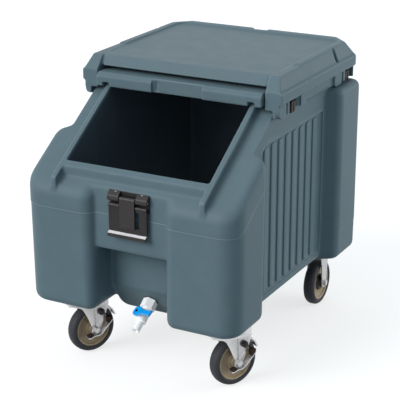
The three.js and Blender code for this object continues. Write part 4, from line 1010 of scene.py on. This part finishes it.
# %% Lid bolts
KNOB_FACE = 266
knob = prism("knob", "X", [(-13, 637, 6), (13, 637, 6), (13, 667, 6), (-13, 667, 6)], 252.5, KNOB_FACE)
round_ends(knob, 0, (KNOB_FACE, KNOB_FACE), 4)
knob_slot = block("knob_slot", (262, 270), (-2, 2), (641, 663))
cut(knob, knob_slot)
smooth_by_angle(knob, 30)
for side_name, side in SIDES.items():
    for end, y in (("front", -17), ("rear", 322)):
        place = Matrix.Diagonal((side, 1, 1, 1)) @ moved(0, y, 0)
        enlist(placed_copy(knob, f"{end}_{side_name}_knob", place), "bin", "nylon_brown",
               f"lid_bolt_{end}_{side_name}")
bpy.data.objects.remove(knob)

# %% Faucet handle
VALVE_TURN = math.radians(12)
stem_axis = Vector((-0.4226, -0.5027, 0.7541)).normalized()
lever_axis = stem_axis.cross(DRAIN_AXIS).normalized()
lever_axis = Matrix.Rotation(-VALVE_TURN, 3, stem_axis) @ lever_axis
HANDLE_TOP = 25.3
VALVE_PLACE = 48.6
handle = prism("handle", "Z", [
    (-12, -7, 7), (-5, -12.5, 8), (7, -12.5, 10), (22, -6, 16), (46, -6), (57, -9, 1.5), (58, 8, 1.5),
    (46, 5), (22, 6, 16), (7, 12.5, 10), (-5, 12.5, 8), (-12, 7, 7),
], 19.3, HANDLE_TOP, segments=5)
round_ends(handle, 2, (HANDLE_TOP, HANDLE_TOP), 1.6, segments=3)
dress(handle, "blue_plastic")
stem = rod("stem", 3.4, (0, 0, 5), (0, 0, 20), sides=24)
eye = rod("eye", 4.6, (0, 0, 20.5), (0, 0, 30), sides=32)
cut(handle, dress(eye, "seal_rubber"))
join(handle, stem)
across = stem_axis.cross(lever_axis)
turn = Matrix((lever_axis, across, stem_axis)).transposed().to_4x4()
faucet_middle = DRAIN_SEAT + VALVE_PLACE * DRAIN_AXIS
handle.data.transform(Matrix.Translation(faucet_middle * MM) @ turn)
smooth_by_angle(handle, 30)
enlist(handle, "faucet_valve", "blue_plastic", "faucet_handle")
print("handle faces:", len(handle.data.polygons))

# %% [markdown]
# ## Parts that keep their CAD mesh
# Small turned and pressed parts already have the right form in the CAD model. A Weld joins their corners
# and a fine Bevel breaks their edges, so that they catch the light, and each gets the material of its slot.

# %% Dress the CAD parts that stay
KEPT = {
    "foam": ["foam_core", "lid_foam_core"],
    "nylon_black": ["latch_bar"],
    "white_plastic": ["drain_shelf", "fill_plug_front", "fill_plug_rear", "lid_fill_plug", "drain_bulkhead",
                      "drain_lock_nut", "union_nut", "faucet_body", "faucet_ball"],
    "seal_rubber": ["drain_gasket"],
    "zinc": ["latch_pin", "latch_screw_left", "latch_screw_right"],
}
FRONT_PARTS = ("studs", "top_plate", "swivel_race", "kingpin", "axle", "brake_shoe")
REAR_PARTS = ("studs", "fork", "axle")
for side_name in SIDES:
    KEPT["zinc"] += [f"front_{side_name}_{part}" for part in FRONT_PARTS]
    KEPT["zinc"] += [f"rear_{side_name}_{part}" for part in REAR_PARTS]
for slot, names in KEPT.items():
    for name in names:
        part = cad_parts[name]
        part.data.materials.clear()
        part.data.materials.append(LOOKS[slot])
        weld = part.modifiers.new("joined corners", "WELD")
        weld.merge_threshold = 0.01 * MM
        edge = part.modifiers.new("broken edges", "BEVEL")
        edge.width = 0.5 * MM
        edge.segments = 2
        edge.limit_method = "ANGLE"
        edge.angle_limit = math.radians(32)
        edge.harden_normals = True
print(sum(len(names) for names in KEPT.values()), "CAD parts dressed")

# %% [markdown]
# ## Floor and light
# The floor is plain and pale. To the camera, and in metal and glass, it is nearly white and keeps only a
# soft shadow, while the matt surfaces of the bin get the light of a darker floor, so that little comes back
# from below. A Light Path node tells the rays apart.

# %% Floor
def by_ray(tree, hidden, shown):
    """A colour that is shown to the camera and in reflections, and another for the light on matt surfaces."""
    rays = tree.nodes.new("ShaderNodeLightPath").outputs
    seen = calculate(tree, "MAXIMUM", rays["Is Camera Ray"], rays["Is Glossy Ray"])
    seen = calculate(tree, "MAXIMUM", seen, rays["Is Transmission Ray"])
    return blend(tree, seen, hidden, shown)


bpy.ops.mesh.primitive_plane_add(size=30)
floor = bpy.context.object
floor.name = "floor"
paper = bpy.data.materials.new("paper")
paper.use_nodes = True
tree = paper.node_tree
sockets = tree.nodes["Principled BSDF"].inputs
sockets["Roughness"].default_value = 1.0
sockets["Specular IOR Level"].default_value = 0.0
sockets["Emission Strength"].default_value = 1.0
feed(tree, sockets["Base Color"], by_ray(tree, (0.26, 0.3, 0.33, 1), (0.4, 0.4, 0.4, 1)))
feed(tree, sockets["Emission Color"], by_ray(tree, (0, 0, 0, 1), (0.7, 0.7, 0.7, 1)))
floor.data.materials.append(paper)

# %% [markdown]
# Three wide suns make the studio light. The key comes from the front left, a second one from above
# brightens the slanted faces, and a weak one from behind on the right gives the chamfers their sheen. A
# soft panel behind on the right lifts the rear of the side wall. The cool sky fills the shadows. The camera
# and the bright surfaces see it as plain white.

# %% Lights and sky
def lamp(name, kind, towards, strength):
    """A light that shines from a direction."""
    obj = bpy.data.objects.new(name, bpy.data.lights.new(name, kind))
    obj.data.energy = strength
    obj.rotation_euler = Vector(towards).to_track_quat("Z", "Y").to_euler()
    bpy.context.scene.collection.objects.link(obj)
    return obj


SUNS = {
    "key": ((-0.45, -0.8, 0.5), 2.35, 40),
    "top": ((-0.35, 0.0, 0.93), 0.3, 50),
    "rear": ((0.55, 0.83, 0.1), 0.4, 25),
}
for name, (towards, strength, degrees) in SUNS.items():
    lamp(name, "SUN", towards, strength).data.angle = math.radians(degrees)
side_lamp = lamp("side", "AREA", (1.7, 1.05, 0.4), 17)
side_lamp.data.size = 1.2
side_lamp.location = (2.0, 1.3, 0.8)

world = bpy.data.worlds.new("studio")
bpy.context.scene.world = world
world.use_nodes = True
tree = world.node_tree
feed(tree, tree.nodes["Background"].inputs["Color"], by_ray(tree, (0.38, 0.45, 0.49, 1), (1, 1, 1, 1)))
bpy.context.scene.view_settings.view_transform = "Standard"
print("lights:", [light.name for light in bpy.data.lights])
